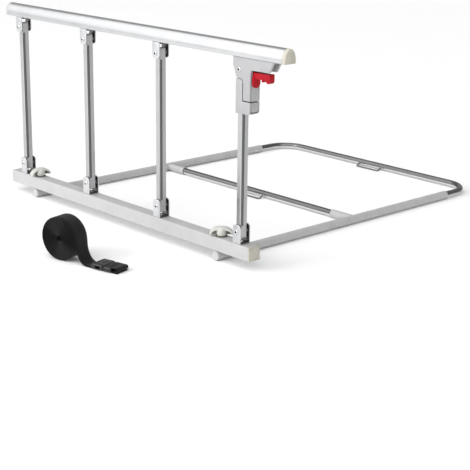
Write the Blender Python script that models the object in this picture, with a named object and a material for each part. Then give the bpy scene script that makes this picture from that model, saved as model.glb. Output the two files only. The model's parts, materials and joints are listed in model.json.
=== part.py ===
"""Bed assist rail: a folding handrail on a base rail, with an under-mattress frame and a strap.

Frame: X along the rails, Y from the base rail towards the mattress, Z up.
The origin is the middle of the base rail's flat inner face, the one towards the mattress.
Pieces are worked out from the middle of the rail's underside and then moved by ORIGIN.
The side tubes pass under the base rail and stand on the floor. All values are metres.
"""

import math

import bmesh
import bpy
from mathutils import Vector

# ---------------------------------------------------------------- driving dimensions

GAP = 0.0003                    # clearance between neighbouring pieces

RAIL_LENGTH = 0.860             # base rail with its two end caps
RAIL_DEPTH = 0.031
RAIL_HEIGHT = 0.030
RAIL_WALL = 0.0015
RAIL_CORNER = 0.002
RAIL_CAP = 0.0030               # flange of a base rail end cap

HANDRAIL_LEFT = -0.425          # extrusion ends along X, without the caps
HANDRAIL_RIGHT = 0.510
HANDRAIL_WIDTH = 0.030
HANDRAIL_HEIGHT = 0.0295
HANDRAIL_WALL = 0.0016
HANDRAIL_CAP = 0.0088
HANDRAIL_SHOULDER = 0.005       # height of the upright sides below the curve
CAP_PLUG = 0.016                # how far an end cap's plug reaches into its profile

POST_COUNT = 4
FIRST_POST_X = -0.3805
POST_PITCH = 0.257
POST_WIDTH = 0.015
POST_DEPTH = 0.019
POST_CORNER = 0.003
POST_WALL = 0.0014
POST_GROOVE = (-0.0074, -0.0016)  # drawn groove along both sides, in Y
POST_GROOVE_DEPTH = 0.0008
POST_GROOVE_START = 0.013       # plain length beside each pivot
LINK_LENGTH = 0.3334            # lower pivot to upper pivot
PIVOT_RISE = 0.0253             # lower pivot above the base rail's top
PIVOT_DROP = 0.0244             # upper pivot below the handrail's flat face

BRACKET_WIDTH = 0.0225
BRACKET_DEPTH = 0.028
BRACKET_PLATE = 0.003
EAR_THICKNESS = 0.0022
EAR_CORNER = 0.008
LOWER_EAR_TOP = 0.015           # ear beyond the lower pivot
UPPER_EAR_END = 0.011           # ear beyond the upper pivot

RIVET_RADIUS = 0.003
RIVET_HEAD_RADIUS = 0.0050
RIVET_HEAD_RISE = 0.0022
BORE_CLEARANCE = 0.0003
POST_END = 0.0115               # post tube beyond the lower pivot
POST_TOP = 0.0085               # post tube beyond the upper pivot
END_FLANGE = 0.002
BOSS_RADIUS = 0.0055

SIDE_TUBE_DIAMETER = 0.020
SIDE_TUBE_BORE = 0.0164
SIDE_TUBE_X = 0.330
SIDE_TUBE_FRONT = -0.0155
SIDE_TUBE_REAR = 0.747
STUB_DIAMETER = 0.019
STUB_END_X = 0.265
THIN_TUBE_DIAMETER = 0.0158
THIN_TUBE_BORE = 0.0134
CROSSBAR_Y = 0.410
CROSSBAR_INSERT = 0.035
BOW_Y = 0.8505
BOW_CORNER = 0.065
BOW_INSERT = 0.050
LOOP_LENGTH = 0.075
LOOP_REACH = 0.022
LOOP_WIRE_RADIUS = 0.0019

BUTTON_Y = 0.722
BUTTON_RADIUS = 0.0032
BUTTON_PROUD = 0.0015

KNOB_SPAN = 0.050
KNOB_WING_HALF = 0.0066
KNOB_RISE = 0.0190
KNOB_HUB_RADIUS = 0.0108
STUD_RADIUS = 0.004
WASHER_RADIUS = 0.0125
WASHER_THICKNESS = 0.002

LATCH_HALF_DEPTH = 0.0125       # housing and collar, along Y
ARM_LEFT = 0.0103               # latch arm, measured from the upper pivot
ARM_RIGHT = 0.0330
ARM_BOTTOM = -0.0610
COLLAR_BOTTOM = -0.0880
COLLAR_SWEEP = 0.0180           # housing's edge turns over the collar's top within this radius
BOLT_X = 0.0220
BOLT_RADIUS = 0.0035
BOLT_TIP = -0.0662
LEVER_HALF_DEPTH = 0.0070
LEG_HALF_DEPTH = 0.0098
LEG_THICKNESS = 0.0045

WEBBING_WIDTH = 0.038
WEBBING_THICKNESS = 0.0016
ROLL_RADIUS = 0.0465
TAIL_END = 0.156                # strap places below are along the strap, from the roll's middle
SOCKET_START = 0.088
SOCKET_END = 0.119
PRONG_END = 0.140
PRONG_REACH = 0.020             # how far the prongs stand in the socket
BUCKLE_HALF_WIDTH = 0.022
BUCKLE_RISE = 0.010
BUCKLE_WALL = 0.0022
STRAP_PLACE = (0.115, -0.245)
STRAP_TURN = 13.0               # degrees about Z

# ---------------------------------------------------------------- derived places

POST_XS = [FIRST_POST_X + index * POST_PITCH for index in range(POST_COUNT)]
RAIL_BASE = 0.0
TUBE_Z = RAIL_BASE - GAP - SIDE_TUBE_DIAMETER / 2
FLOOR_Z = TUBE_Z - SIDE_TUBE_DIAMETER / 2
RAIL_TOP = RAIL_BASE + RAIL_HEIGHT
LOWER_PIVOT_Z = RAIL_TOP + PIVOT_RISE
UPPER_PIVOT_Z = LOWER_PIVOT_Z + LINK_LENGTH
HANDRAIL_BASE = UPPER_PIVOT_Z + PIVOT_DROP
ORIGIN = Vector((0.0, RAIL_DEPTH / 2, RAIL_BASE + RAIL_HEIGHT / 2))
STRAP_ORIGIN = Vector((STRAP_PLACE[0], STRAP_PLACE[1], FLOOR_Z))


# ---------------------------------------------------------------- mesh tools

def on_axis(axis, u, v, along):
    """A point from its two outline coordinates and its distance along the axis."""
    if axis == "X":
        return Vector((along, u, v))
    if axis == "Y":
        return Vector((u, along, v))
    return Vector((u, v, along))


def arc(centre_u, centre_v, radius, start, end, steps):
    """Points along a circular arc, with angles in degrees."""
    angles = [math.radians(start + (end - start) * step / steps) for step in range(steps + 1)]
    return [(centre_u + radius * math.cos(a), centre_v + radius * math.sin(a)) for a in angles]


def rounded_rectangle(width, height, radius, steps=3, centre=(0.0, 0.0)):
    """Outline of a rectangle with rounded corners, counter-clockwise."""
    u = width / 2 - radius
    v = height / 2 - radius
    corners = [(u, -v, -90), (u, v, 0), (-u, v, 90), (-u, -v, 180)]
    points = []
    for corner_u, corner_v, start in corners:
        points += arc(centre[0] + corner_u, centre[1] + corner_v, radius, start, start + 90, steps)
    return points


def close_mesh(mesh):
    bmesh.ops.recalc_face_normals(mesh, faces=mesh.faces)
    return mesh


def prism(outline, axis, low, high):
    """A solid with a constant outline between two places on an axis."""
    mesh = bmesh.new()
    bottom = [mesh.verts.new(on_axis(axis, u, v, low)) for u, v in outline]
    top = [mesh.verts.new(on_axis(axis, u, v, high)) for u, v in outline]
    mesh.faces.new(bottom)
    mesh.faces.new(top)
    for index in range(len(outline)):
        following = (index + 1) % len(outline)
        mesh.faces.new((bottom[index], bottom[following], top[following], top[index]))
    return close_mesh(mesh)


def hollow_prism(outer, inner, axis, low, high):
    """An extrusion with a through hollow; both outlines have the same number of points."""
    mesh = bmesh.new()
    loops = []
    for outline, along in ((outer, low), (outer, high), (inner, high), (inner, low)):
        loops.append([mesh.verts.new(on_axis(axis, u, v, along)) for u, v in outline])
    for first, second in zip(loops, loops[1:] + loops[:1]):
        for index in range(len(outer)):
            following = (index + 1) % len(outer)
            mesh.faces.new((first[index], first[following], second[following], second[index]))
    return close_mesh(mesh)


def box(low, high):
    outline = [(low[0], low[1]), (high[0], low[1]), (high[0], high[1]), (low[0], high[1])]
    return prism(outline, "Z", low[2], high[2])


def cylinder(axis, centre_u, centre_v, radius, low, high, sides=24):
    outline = arc(centre_u, centre_v, radius, 0, 360 - 360 / sides, sides - 1)
    return prism(outline, axis, low, high)


def tube(axis, centre_u, centre_v, outer, inner, low, high, sides=24):
    rings = [arc(centre_u, centre_v, radius, 0, 360 - 360 / sides, sides - 1)
             for radius in (outer, inner)]
    return hollow_prism(rings[0], rings[1], axis, low, high)


def lathe(profile, axis, sides=24):
    """Turn a profile of (radius, place) points, whose ends lie on the axis, about that axis."""
    mesh = bmesh.new()
    rings = []
    for radius, along in profile:
        if radius == 0.0:
            rings.append([mesh.verts.new(on_axis(axis, 0.0, 0.0, along))])
        else:
            ring = arc(0.0, 0.0, radius, 0, 360 - 360 / sides, sides - 1)
            rings.append([mesh.verts.new(on_axis(axis, u, v, along)) for u, v in ring])
    for first, second in zip(rings, rings[1:]):
        for index in range(sides):
            following = (index + 1) % sides
            corners = [first[index % len(first)], first[following % len(first)],
                       second[following % len(second)], second[index % len(second)]]
            mesh.faces.new(list(dict.fromkeys(corners)))
    return close_mesh(mesh)


def sweep_rings(mesh, path, radius, sides):
    """Rings of vertices square to a path that stays near one horizontal plane."""
    rings = []
    for index, point in enumerate(path):
        before = path[max(index - 1, 0)]
        after = path[min(index + 1, len(path) - 1)]
        tangent = (after - before).normalized()
        side = tangent.cross(Vector((0, 0, 1))).normalized()
        lift = side.cross(tangent).normalized()
        ring = arc(0.0, 0.0, radius, 0, 360 - 360 / sides, sides - 1)
        rings.append([mesh.verts.new(point + side * u + lift * v) for u, v in ring])
    return rings


def join_rings(mesh, first, second):
    for index in range(len(first)):
        following = (index + 1) % len(first)
        mesh.faces.new((first[index], first[following], second[following], second[index]))


def swept_rod(path, radius, sides=10):
    mesh = bmesh.new()
    rings = sweep_rings(mesh, path, radius, sides)
    for first, second in zip(rings, rings[1:]):
        join_rings(mesh, first, second)
    mesh.faces.new(rings[0])
    mesh.faces.new(rings[-1])
    return close_mesh(mesh)


def swept_tube(path, outer, inner, sides=20):
    mesh = bmesh.new()
    outside = sweep_rings(mesh, path, outer, sides)
    inside = sweep_rings(mesh, path, inner, sides)
    for rings in (outside, inside):
        for first, second in zip(rings, rings[1:]):
            join_rings(mesh, first, second)
    join_rings(mesh, outside[0], inside[0])
    join_rings(mesh, outside[-1], inside[-1])
    return close_mesh(mesh)


def bevel_sharp(mesh, width, segments=2, keep=None):
    """Round the edges that turn by more than 40 degrees, all of them or those that keep() picks."""
    limit = math.radians(40)
    edges = [edge for edge in mesh.edges if edge.calc_face_angle(0.0) > limit]
    if keep:
        edges = [edge for edge in edges if all(keep(vert.co) for vert in edge.verts)]
    bmesh.ops.bevel(mesh, geom=edges, offset=width, segments=segments, profile=0.5,
                    affect="EDGES", clamp_overlap=True)
    return mesh


def temporary_object(mesh):
    data = bpy.data.meshes.new("working")
    mesh.to_mesh(data)
    mesh.free()
    thing = bpy.data.objects.new("working", data)
    bpy.context.scene.collection.objects.link(thing)
    return thing


def boolean(base, tools, operation):
    """Union the tools with the base mesh, or cut them out of it, one after another."""
    target = temporary_object(base)
    for tool_mesh in tools:
        tool = temporary_object(tool_mesh)
        modifier = target.modifiers.new("shape", "BOOLEAN")
        modifier.operation = operation
        modifier.solver = "EXACT"
        modifier.object = tool
        bpy.context.view_layer.update()
        graph = bpy.context.evaluated_depsgraph_get()
        result = bpy.data.meshes.new_from_object(target.evaluated_get(graph))
        target.modifiers.clear()
        spent = target.data
        target.data = result
        bpy.data.meshes.remove(spent)
        tool_data = tool.data
        bpy.data.objects.remove(tool)
        bpy.data.meshes.remove(tool_data)
    joined = bmesh.new()
    joined.from_mesh(target.data)
    data = target.data
    bpy.data.objects.remove(target)
    bpy.data.meshes.remove(data)
    return joined


def cut(base, *tools):
    return boolean(base, tools, "DIFFERENCE")


def fuse(base, *tools):
    return boolean(base, tools, "UNION")


# ---------------------------------------------------------------- scene tools

def clear_scene():
    for thing in list(bpy.data.objects):
        bpy.data.objects.remove(thing)


def material(name, colour, roughness, metallic):
    made = bpy.data.materials.new(name)
    made.use_nodes = True
    shader = made.node_tree.nodes["Principled BSDF"]
    shader.inputs["Base Color"].default_value = (*colour, 1.0)
    shader.inputs["Roughness"].default_value = roughness
    shader.inputs["Metallic"].default_value = metallic
    return made


def make_materials():
    return {
        "satin_aluminium": material("satin_aluminium", (0.72, 0.73, 0.75), 0.32, 1.0),
        "painted_rail": material("painted_rail", (0.80, 0.80, 0.80), 0.45, 0.0),
        "painted_frame": material("painted_frame", (0.66, 0.66, 0.66), 0.50, 0.0),
        "bracket_steel": material("bracket_steel", (0.62, 0.63, 0.65), 0.35, 1.0),
        "bright_steel": material("bright_steel", (0.75, 0.75, 0.76), 0.18, 1.0),
        "tube_steel": material("tube_steel", (0.42, 0.42, 0.43), 0.30, 1.0),
        "ivory_plastic": material("ivory_plastic", (0.72, 0.69, 0.60), 0.50, 0.0),
        "knob_plastic": material("knob_plastic", (0.82, 0.82, 0.76), 0.40, 0.0),
        "white_plastic": material("white_plastic", (0.88, 0.88, 0.87), 0.45, 0.0),
        "grey_plastic": material("grey_plastic", (0.45, 0.45, 0.46), 0.50, 0.0),
        "latch_silver": material("latch_silver", (0.68, 0.68, 0.70), 0.42, 0.3),
        "lever_red": material("lever_red", (0.62, 0.01, 0.03), 0.35, 0.0),
        "rubber": material("rubber", (0.05, 0.05, 0.05), 0.70, 0.0),
        "webbing": material("webbing", (0.015, 0.015, 0.016), 0.80, 0.0),
        "buckle_black": material("buckle_black", (0.012, 0.012, 0.013), 0.25, 0.0),
    }


def pivot(name, place):
    """An empty on a joint's axis, which the pieces that move with it are parented to."""
    empty = bpy.data.objects.new(name, None)
    empty.location = Vector(place) - ORIGIN
    bpy.context.scene.collection.objects.link(empty)
    return empty


def mesh_data(name, mesh):
    data = bpy.data.meshes.new(name)
    mesh.to_mesh(data)
    mesh.free()
    data.shade_smooth()
    data.set_sharp_from_angle(angle=math.radians(35))
    return data


def add_piece(name, data, finish, place=(0, 0, 0), parent=None, turn=0.0):
    """Place one named piece in the world, and hang it on its pivot if it has one."""
    piece = bpy.data.objects.new(name, data)
    if not data.materials:
        data.materials.append(finish)
    piece.location = Vector(place) - ORIGIN
    piece.rotation_euler = (0, 0, math.radians(turn))
    if parent:
        piece.parent = parent
        piece.location -= parent.location
    bpy.context.scene.collection.objects.link(piece)
    return piece


# ---------------------------------------------------------------- base rail

def base_rail_mesh():
    half = RAIL_LENGTH / 2 - RAIL_CAP - GAP
    centre = (0.0, RAIL_BASE + RAIL_HEIGHT / 2)
    outer = rounded_rectangle(RAIL_DEPTH, RAIL_HEIGHT, RAIL_CORNER, 3, centre)
    inner = rounded_rectangle(RAIL_DEPTH - 2 * RAIL_WALL, RAIL_HEIGHT - 2 * RAIL_WALL,
                              RAIL_CORNER - RAIL_WALL / 2, 3, centre)
    rail = hollow_prism(outer, inner, "X", -half, half)
    top_cut = (RAIL_TOP - 2 * RAIL_WALL, RAIL_TOP + RAIL_WALL)
    screws = [cylinder("Z", x, 0.0, 0.0026, *top_cut, sides=12) for x in POST_XS]
    studs = [cylinder("Z", side * SIDE_TUBE_X, 0.0, STUD_RADIUS + BORE_CLEARANCE,
                      RAIL_BASE - RAIL_WALL, RAIL_TOP + RAIL_WALL, 16) for side in (-1, 1)]
    return cut(rail, *screws, *studs)


def base_cap_mesh(side):
    centre = (0.0, RAIL_BASE + RAIL_HEIGHT / 2)
    end = side * RAIL_LENGTH / 2
    inside = end - side * RAIL_CAP
    flange = prism(rounded_rectangle(RAIL_DEPTH, RAIL_HEIGHT, RAIL_CORNER, 3, centre),
                   "X", min(end, inside), max(end, inside))
    bevel_sharp(flange, 0.0008, 2, lambda point: abs(point.x - end) < GAP)
    slack = 2 * (RAIL_WALL + GAP)
    plug_end = inside - side * CAP_PLUG
    reach = inside + side * RAIL_CAP / 2
    plug = prism(rounded_rectangle(RAIL_DEPTH - slack, RAIL_HEIGHT - slack, 0.001, 2, centre),
                 "X", min(plug_end, reach), max(plug_end, reach))
    return fuse(flange, plug)


# ---------------------------------------------------------------- hinged brackets and posts

def ear_outline(low, high, rounded_high):
    """A bracket's side view: square at its plate and round-cornered at its free end."""
    half = BRACKET_WIDTH / 2
    u = half - EAR_CORNER
    if rounded_high:
        v = high - EAR_CORNER
        return ([(-half, low), (half, low)] + arc(u, v, EAR_CORNER, 0, 90, 4)
                + arc(-u, v, EAR_CORNER, 90, 180, 4))
    v = low + EAR_CORNER
    return ([(half, high), (-half, high)] + arc(-u, v, EAR_CORNER, 180, 270, 4)
            + arc(u, v, EAR_CORNER, 270, 360, 4))


def bracket_mesh(plate_outer, plate_inner, ear_end):
    """A U-shaped clevis about its pivot; the plate lies between two heights."""
    rounded_high = ear_end > plate_outer
    low = min(plate_outer, ear_end)
    high = max(plate_outer, ear_end)
    half = BRACKET_DEPTH / 2
    body = prism(ear_outline(low, high, rounded_high), "Y", -half, half)
    inner = half - EAR_THICKNESS
    reach = BRACKET_WIDTH
    if rounded_high:
        slot = box((-reach, -inner, plate_inner), (reach, inner, high + reach))
    else:
        slot = box((-reach, -inner, low - reach), (reach, inner, plate_inner))
    hole = cylinder("Y", 0.0, 0.0, RIVET_RADIUS + BORE_CLEARANCE, -2 * half, 2 * half, 12)
    return cut(body, slot, hole)


def lower_bracket_mesh():
    plate_bottom = -PIVOT_RISE + GAP
    plate_top = plate_bottom + BRACKET_PLATE
    body = bracket_mesh(plate_bottom, plate_top, LOWER_EAR_TOP)
    return cut(body, cylinder("Z", 0.0, 0.0, 0.0026, plate_bottom - 0.001, plate_top + 0.001, 12))


def upper_bracket_mesh():
    plate_top = PIVOT_DROP - GAP
    plate_bottom = plate_top - BRACKET_PLATE
    body = bracket_mesh(plate_top, plate_bottom, -UPPER_EAR_END)
    dome = lathe([(0.0, plate_bottom + 0.001), (0.0042, plate_bottom + 0.001),
                  (0.0042, plate_bottom - 0.0010), (0.0030, plate_bottom - 0.0024),
                  (0.0, plate_bottom - 0.0028)], "Z", 10)
    return fuse(body, dome)


def bracket_screw_mesh():
    """A pan-head screw that holds the lower bracket on the base rail, about the pivot."""
    seat = -PIVOT_RISE + 2 * GAP + BRACKET_PLATE
    tip = seat - 0.013
    profile = [(0.0, seat + 0.0018), (0.0014, seat + 0.0030), (0.0026, seat + 0.0030),
               (0.0042, seat + 0.0019), (0.0046, seat), (0.0022, seat), (0.0022, tip), (0.0, tip)]
    return lathe(profile, "Z", 12)


def rivet_mesh(half_grip):
    """A round-headed tubular rivet along Y, centred on the pivot."""
    seat = half_grip + GAP
    head = [(RIVET_RADIUS, seat), (RIVET_HEAD_RADIUS, seat),
            (RIVET_HEAD_RADIUS - 0.0002, seat + 0.0010),
            (RIVET_HEAD_RADIUS - 0.0014, seat + RIVET_HEAD_RISE - 0.0003),
            (0.0022, seat + RIVET_HEAD_RISE), (0.0015, seat + 0.0004), (0.0, seat + 0.0002)]
    mirrored = [(radius, -along) for radius, along in reversed(head)]
    return lathe(mirrored + head, "Y", 10)


def post_mesh(top_boss_radius):
    """A post tube about its lower pivot: cross holes at both pivots, a groove along each side."""
    outer = rounded_rectangle(POST_WIDTH, POST_DEPTH, POST_CORNER, 2)
    inner = rounded_rectangle(POST_WIDTH - 2 * POST_WALL, POST_DEPTH - 2 * POST_WALL,
                              POST_CORNER - POST_WALL, 2)
    body = hollow_prism(outer, inner, "Z", -POST_END, LINK_LENGTH + POST_TOP)
    reach = POST_DEPTH
    low_hole = cylinder("Y", 0.0, 0.0, BOSS_RADIUS + GAP, -reach, reach, 12)
    high_hole = cylinder("Y", 0.0, LINK_LENGTH, top_boss_radius, -reach, reach, 12)
    grooves = []
    for side in (-1, 1):
        near, far = sorted((side * (POST_WIDTH / 2 - POST_GROOVE_DEPTH), side * POST_WIDTH))
        grooves.append(box((near, POST_GROOVE[0], POST_GROOVE_START),
                           (far, POST_GROOVE[1], LINK_LENGTH - POST_GROOVE_START)))
    return cut(body, low_hole, high_hole, *grooves)


def post_plug_mesh(outward, tube_end):
    """A moulded post end: shank in the tube, end flange, and two bosses that carry the rivet."""
    slack = 2 * (POST_WALL + GAP)
    shank_low, shank_high = sorted((-outward * 0.020, outward * (tube_end + END_FLANGE / 2)))
    shank = prism(rounded_rectangle(POST_WIDTH - slack, POST_DEPTH - slack, 0.0014, 1),
                  "Z", shank_low, shank_high)
    flange_low, flange_high = sorted((outward * (tube_end + GAP),
                                      outward * (tube_end + GAP + END_FLANGE)))
    flange = prism(rounded_rectangle(POST_WIDTH, POST_DEPTH, POST_CORNER, 2),
                   "Z", flange_low, flange_high)
    outer_face = outward * (tube_end + GAP + END_FLANGE)
    bevel_sharp(flange, 0.0007, 1, lambda point: abs(point.z - outer_face) < GAP)
    boss_reach = BRACKET_DEPTH / 2 - EAR_THICKNESS - GAP
    boss = cylinder("Y", 0.0, 0.0, BOSS_RADIUS, -boss_reach, boss_reach, 12)
    hole = cylinder("Y", 0.0, 0.0, RIVET_RADIUS + BORE_CLEARANCE, -POST_DEPTH, POST_DEPTH, 12)
    return cut(fuse(shank, flange, boss), hole)


# ---------------------------------------------------------------- handrail

def handrail_outline(inset):
    """Loaf-shaped section in (Y, Z): flat below, low upright sides, round over the top."""
    half = HANDRAIL_WIDTH / 2 - inset
    base = HANDRAIL_BASE + inset
    shoulder = HANDRAIL_BASE + HANDRAIL_SHOULDER
    rise = HANDRAIL_BASE + HANDRAIL_HEIGHT - inset - shoulder
    corner = 0.0022 - inset / 2
    points = arc(half - corner, base + corner, corner, -90, 0, 3)
    for step in range(17):
        angle = math.pi * step / 16
        points.append((half * math.cos(angle), shoulder + rise * math.sin(angle)))
    points += arc(-half + corner, base + corner, corner, 180, 270, 3)
    return points


def handrail_mesh():
    return hollow_prism(handrail_outline(0.0), handrail_outline(HANDRAIL_WALL), "X",
                        HANDRAIL_LEFT, HANDRAIL_RIGHT)


def handrail_cap_mesh(side):
    start = HANDRAIL_RIGHT + GAP if side > 0 else HANDRAIL_LEFT - GAP
    end = start + side * HANDRAIL_CAP
    flange = prism(handrail_outline(0.0), "X", min(start, end), max(start, end))
    bevel_sharp(flange, 0.0022, 1, lambda point: abs(point.x - end) < GAP)
    plug_end = start - side * CAP_PLUG
    reach = start + side * HANDRAIL_CAP / 2
    plug = prism(handrail_outline(HANDRAIL_WALL + GAP), "X", min(plug_end, reach),
                 max(plug_end, reach))
    return fuse(flange, plug)


# ---------------------------------------------------------------- latch, about the last upper pivot

def latch_housing_mesh():
    """Cast housing: two cheeks round the post, a latch arm, and a channel for the lever."""
    top = PIVOT_DROP - GAP
    outline = [(-0.0185, top), (-0.0185, 0.008)]
    outline += arc(0.0, 0.0, COLLAR_SWEEP, -124.6, -89, 4)
    outline += arc(0.0015, -0.0268, 0.0088, 90, 8, 6)
    outline += [(ARM_LEFT, ARM_BOTTOM), (ARM_RIGHT, ARM_BOTTOM), (ARM_RIGHT, 0.0012),
                (0.0835, 0.0028), (0.0950, top)]
    body = prism(outline, "Y", -LATCH_HALF_DEPTH, LATCH_HALF_DEPTH)
    bevel_sharp(body, 0.0006, 1)
    ceiling = top - 0.0030
    cheek = POST_DEPTH / 2 + 0.0005
    post_bay = box((-0.030, -cheek, -0.030), (0.0136, cheek, ceiling))
    channel_half = LEVER_HALF_DEPTH + 0.0005
    channel = box((0.0152, -channel_half, -0.0142), (0.110, channel_half, ceiling))
    bore = cylinder("Z", BOLT_X, 0.0, BOLT_RADIUS + BORE_CLEARANCE, ARM_BOTTOM - 0.01, -0.010, 20)
    hole = cylinder("Y", 0.0, 0.0, RIVET_RADIUS + BORE_CLEARANCE, -0.02, 0.02, 20)
    arm_side = box((-0.030, -0.02, -0.070), (ARM_LEFT, 0.02, -0.0262))
    return cut(body, post_bay, channel, bore, hole, arm_side)


def latch_collar_mesh():
    """Sleeve clamped on the last post, with the catch block under the latch arm."""
    seat = ARM_BOTTOM - GAP
    outline = [(0.0100, seat), (0.0100, -0.0272)]
    outline += arc(0.0015, -0.0268, 0.0084, 2, 90, 6)
    outline += [(-0.0100, -0.0184), (-0.0100, COLLAR_BOTTOM), (0.0240, COLLAR_BOTTOM)]
    outline += arc(0.0243, COLLAR_BOTTOM + 0.0090, 0.0090, -70, 0, 5)
    outline += [(ARM_RIGHT + GAP, seat)]
    body = prism(outline, "Y", -LATCH_HALF_DEPTH, LATCH_HALF_DEPTH)
    bevel_sharp(body, 0.0006, 1)
    fit = 2 * GAP
    bore = prism(rounded_rectangle(POST_WIDTH + fit, POST_DEPTH + fit, POST_CORNER + GAP, 2),
                 "Z", COLLAR_BOTTOM - 0.01, 0.0)
    half = BOLT_RADIUS + 0.0006
    pocket = cylinder("Z", BOLT_X, 0.0, half, BOLT_TIP - 0.001, seat + 0.01, 20)
    way_out = box((BOLT_X, -half, BOLT_TIP - 0.001), (ARM_RIGHT + 0.01, half, seat + 0.01))
    return cut(body, bore, pocket, way_out)


def latch_bolt_mesh():
    """Round bolt with a shoulder that the lever lifts and the spring presses down."""
    profile = [(0.0, -0.0010), (0.0018, -0.0010), (0.0018, -0.0060), (0.0050, -0.0060),
               (0.0050, -0.0088), (BOLT_RADIUS, -0.0088), (BOLT_RADIUS, BOLT_TIP + 0.0012),
               (BOLT_RADIUS - 0.0012, BOLT_TIP), (0.0, BOLT_TIP)]
    return lathe(profile, "Z", 20)


def latch_spring_mesh():
    """Helical compression spring above the bolt's shoulder, in the bolt's own axes."""
    turns = 6
    low = -0.0060 + GAP + 0.0006
    high = PIVOT_DROP - GAP - 0.0030 - GAP - 0.0006
    steps = turns * 8
    path = []
    for step in range(steps + 1):
        angle = 2 * math.pi * turns * step / steps
        height = low + (high - low) * step / steps
        path.append(Vector((0.0036 * math.cos(angle), 0.0036 * math.sin(angle), height)))
    return swept_rod(path, 0.0005, 4)


def release_lever_mesh():
    """Red finger lever: slider leg on the arm's side, finger arm, and a tongue round the bolt."""
    half = LEVER_HALF_DEPTH
    leg_left = ARM_RIGHT + 0.0005
    leg_right = leg_left + LEG_THICKNESS
    wide = LEG_HALF_DEPTH
    leg_outline = [(half, -0.0022), (-half, -0.0022), (-half, -0.0088), (-wide, -0.0116)]
    leg_outline += arc(0.0, -0.0240, wide, 180, 360, 8)
    leg_outline += [(wide, -0.0116), (half, -0.0088)]
    leg = prism(leg_outline, "X", leg_left, leg_right)
    bevel_sharp(leg, 0.0012, 1, lambda point: point.x > leg_right - GAP)
    arm_outline = [(leg_left, -0.0022), (leg_left, -0.0148), (0.0570, -0.0148)]
    arm_outline += arc(0.0592, -0.0168, 0.0022, 180, 360, 5)
    arm_outline += [(0.0614, -0.0148), (0.0665, -0.0148)]
    arm_outline += arc(0.0745, -0.0146, 0.0056, 215, 330, 5)
    arm_outline += [(0.0802, -0.0150), (0.0802, -0.0016)]
    arm = prism(arm_outline, "Y", -half, half)
    bevel_sharp(arm, 0.0010, 1)
    tongue = box((0.0156, -0.0062, -0.0132), (leg_left + 0.002, 0.0062, -0.0092))
    hole = cylinder("Z", BOLT_X, 0.0, BOLT_RADIUS + BORE_CLEARANCE, -0.02, 0.0, 20)
    return fuse(leg, arm, cut(tongue, hole))


# ---------------------------------------------------------------- clamping knobs

def knob_mesh():
    """Wing knob about the foot of its hub: domed hub, two arched wings, blind stud hole."""
    hub = lathe([(0.0, 0.0), (0.0092, 0.0), (0.0098, 0.0006), (KNOB_HUB_RADIUS, 0.0100),
                 (0.0100, 0.0140), (0.0080, 0.0170), (0.0045, 0.0186), (0.0, KNOB_RISE)], "Z", 16)
    reach = KNOB_SPAN / 2
    half_arch = [(0.0080, 0.0176), (0.0140, 0.0159), (0.0190, 0.0129), (0.0228, 0.0092),
                 (reach, 0.0052), (reach, 0.0022), (0.0214, 0.0020), (0.0202, 0.0056),
                 (0.0176, 0.0086), (0.0140, 0.0106), (0.0060, 0.0116)]
    outline = half_arch + [(-x, z) for x, z in reversed(half_arch)]
    wings = prism(outline, "Y", -KNOB_WING_HALF, KNOB_WING_HALF)
    bevel_sharp(wings, 0.0014, 2)
    hole = cylinder("Z", 0.0, 0.0, STUD_RADIUS + BORE_CLEARANCE, -0.01, 0.0120, 16)
    return cut(fuse(hub, wings), hole)


def knob_stud_mesh():
    """Stud from inside the knob down into the side tube, about the knob's foot."""
    low = FLOOR_Z + 0.0050 - (RAIL_TOP + WASHER_THICKNESS + 2 * GAP)
    radius = STUD_RADIUS
    return lathe([(0.0, 0.0116), (radius - 0.0006, 0.0116), (radius, 0.0110), (radius, low + 0.0008),
                  (radius - 0.0008, low), (0.0, low)], "Z", 20)


def knob_washer_mesh():
    return tube("Z", 0.0, 0.0, WASHER_RADIUS, STUD_RADIUS + BORE_CLEARANCE, 0.0,
                WASHER_THICKNESS, 28)


# ---------------------------------------------------------------- under-mattress frame

def side_tube_mesh(side):
    """Side tube along Y with the welded stub that takes the crossbar."""
    x = side * SIDE_TUBE_X
    body = cylinder("Y", x, TUBE_Z, SIDE_TUBE_DIAMETER / 2, SIDE_TUBE_FRONT, SIDE_TUBE_REAR, 16)
    stub_ends = sorted((x, side * STUB_END_X))
    stub = cylinder("X", CROSSBAR_Y, TUBE_Z, STUB_DIAMETER / 2, *stub_ends, 16)
    bore = cylinder("Y", x, TUBE_Z, SIDE_TUBE_BORE / 2, SIDE_TUBE_FRONT - 0.01,
                    SIDE_TUBE_REAR + 0.01, 16)
    stub_bore_ends = sorted((x, side * (STUB_END_X - 0.01)))
    stub_bore = cylinder("X", CROSSBAR_Y, TUBE_Z, SIDE_TUBE_BORE / 2, *stub_bore_ends, 16)
    stud_hole = cylinder("Z", x, 0.0, STUD_RADIUS + BORE_CLEARANCE, TUBE_Z,
                         RAIL_BASE + 0.005, 16)
    button_ends = sorted((x, x - side * SIDE_TUBE_DIAMETER))
    button_hole = cylinder("X", BUTTON_Y, TUBE_Z, BUTTON_RADIUS + BORE_CLEARANCE, *button_ends, 16)
    return cut(fuse(body, stub), bore, stub_bore, stud_hole, button_hole)


def tube_plug_mesh():
    """White plug in the front end of a side tube, about the tube's axis at that end."""
    radius = SIDE_TUBE_DIAMETER / 2
    shank = SIDE_TUBE_BORE / 2 - GAP
    return lathe([(0.0, -GAP - 0.0026), (radius - 0.0018, -GAP - 0.0026), (radius, -GAP - 0.0010),
                  (radius, -GAP), (shank, -GAP), (shank, 0.0084), (0.0, 0.0084)], "Y", 16)


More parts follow.
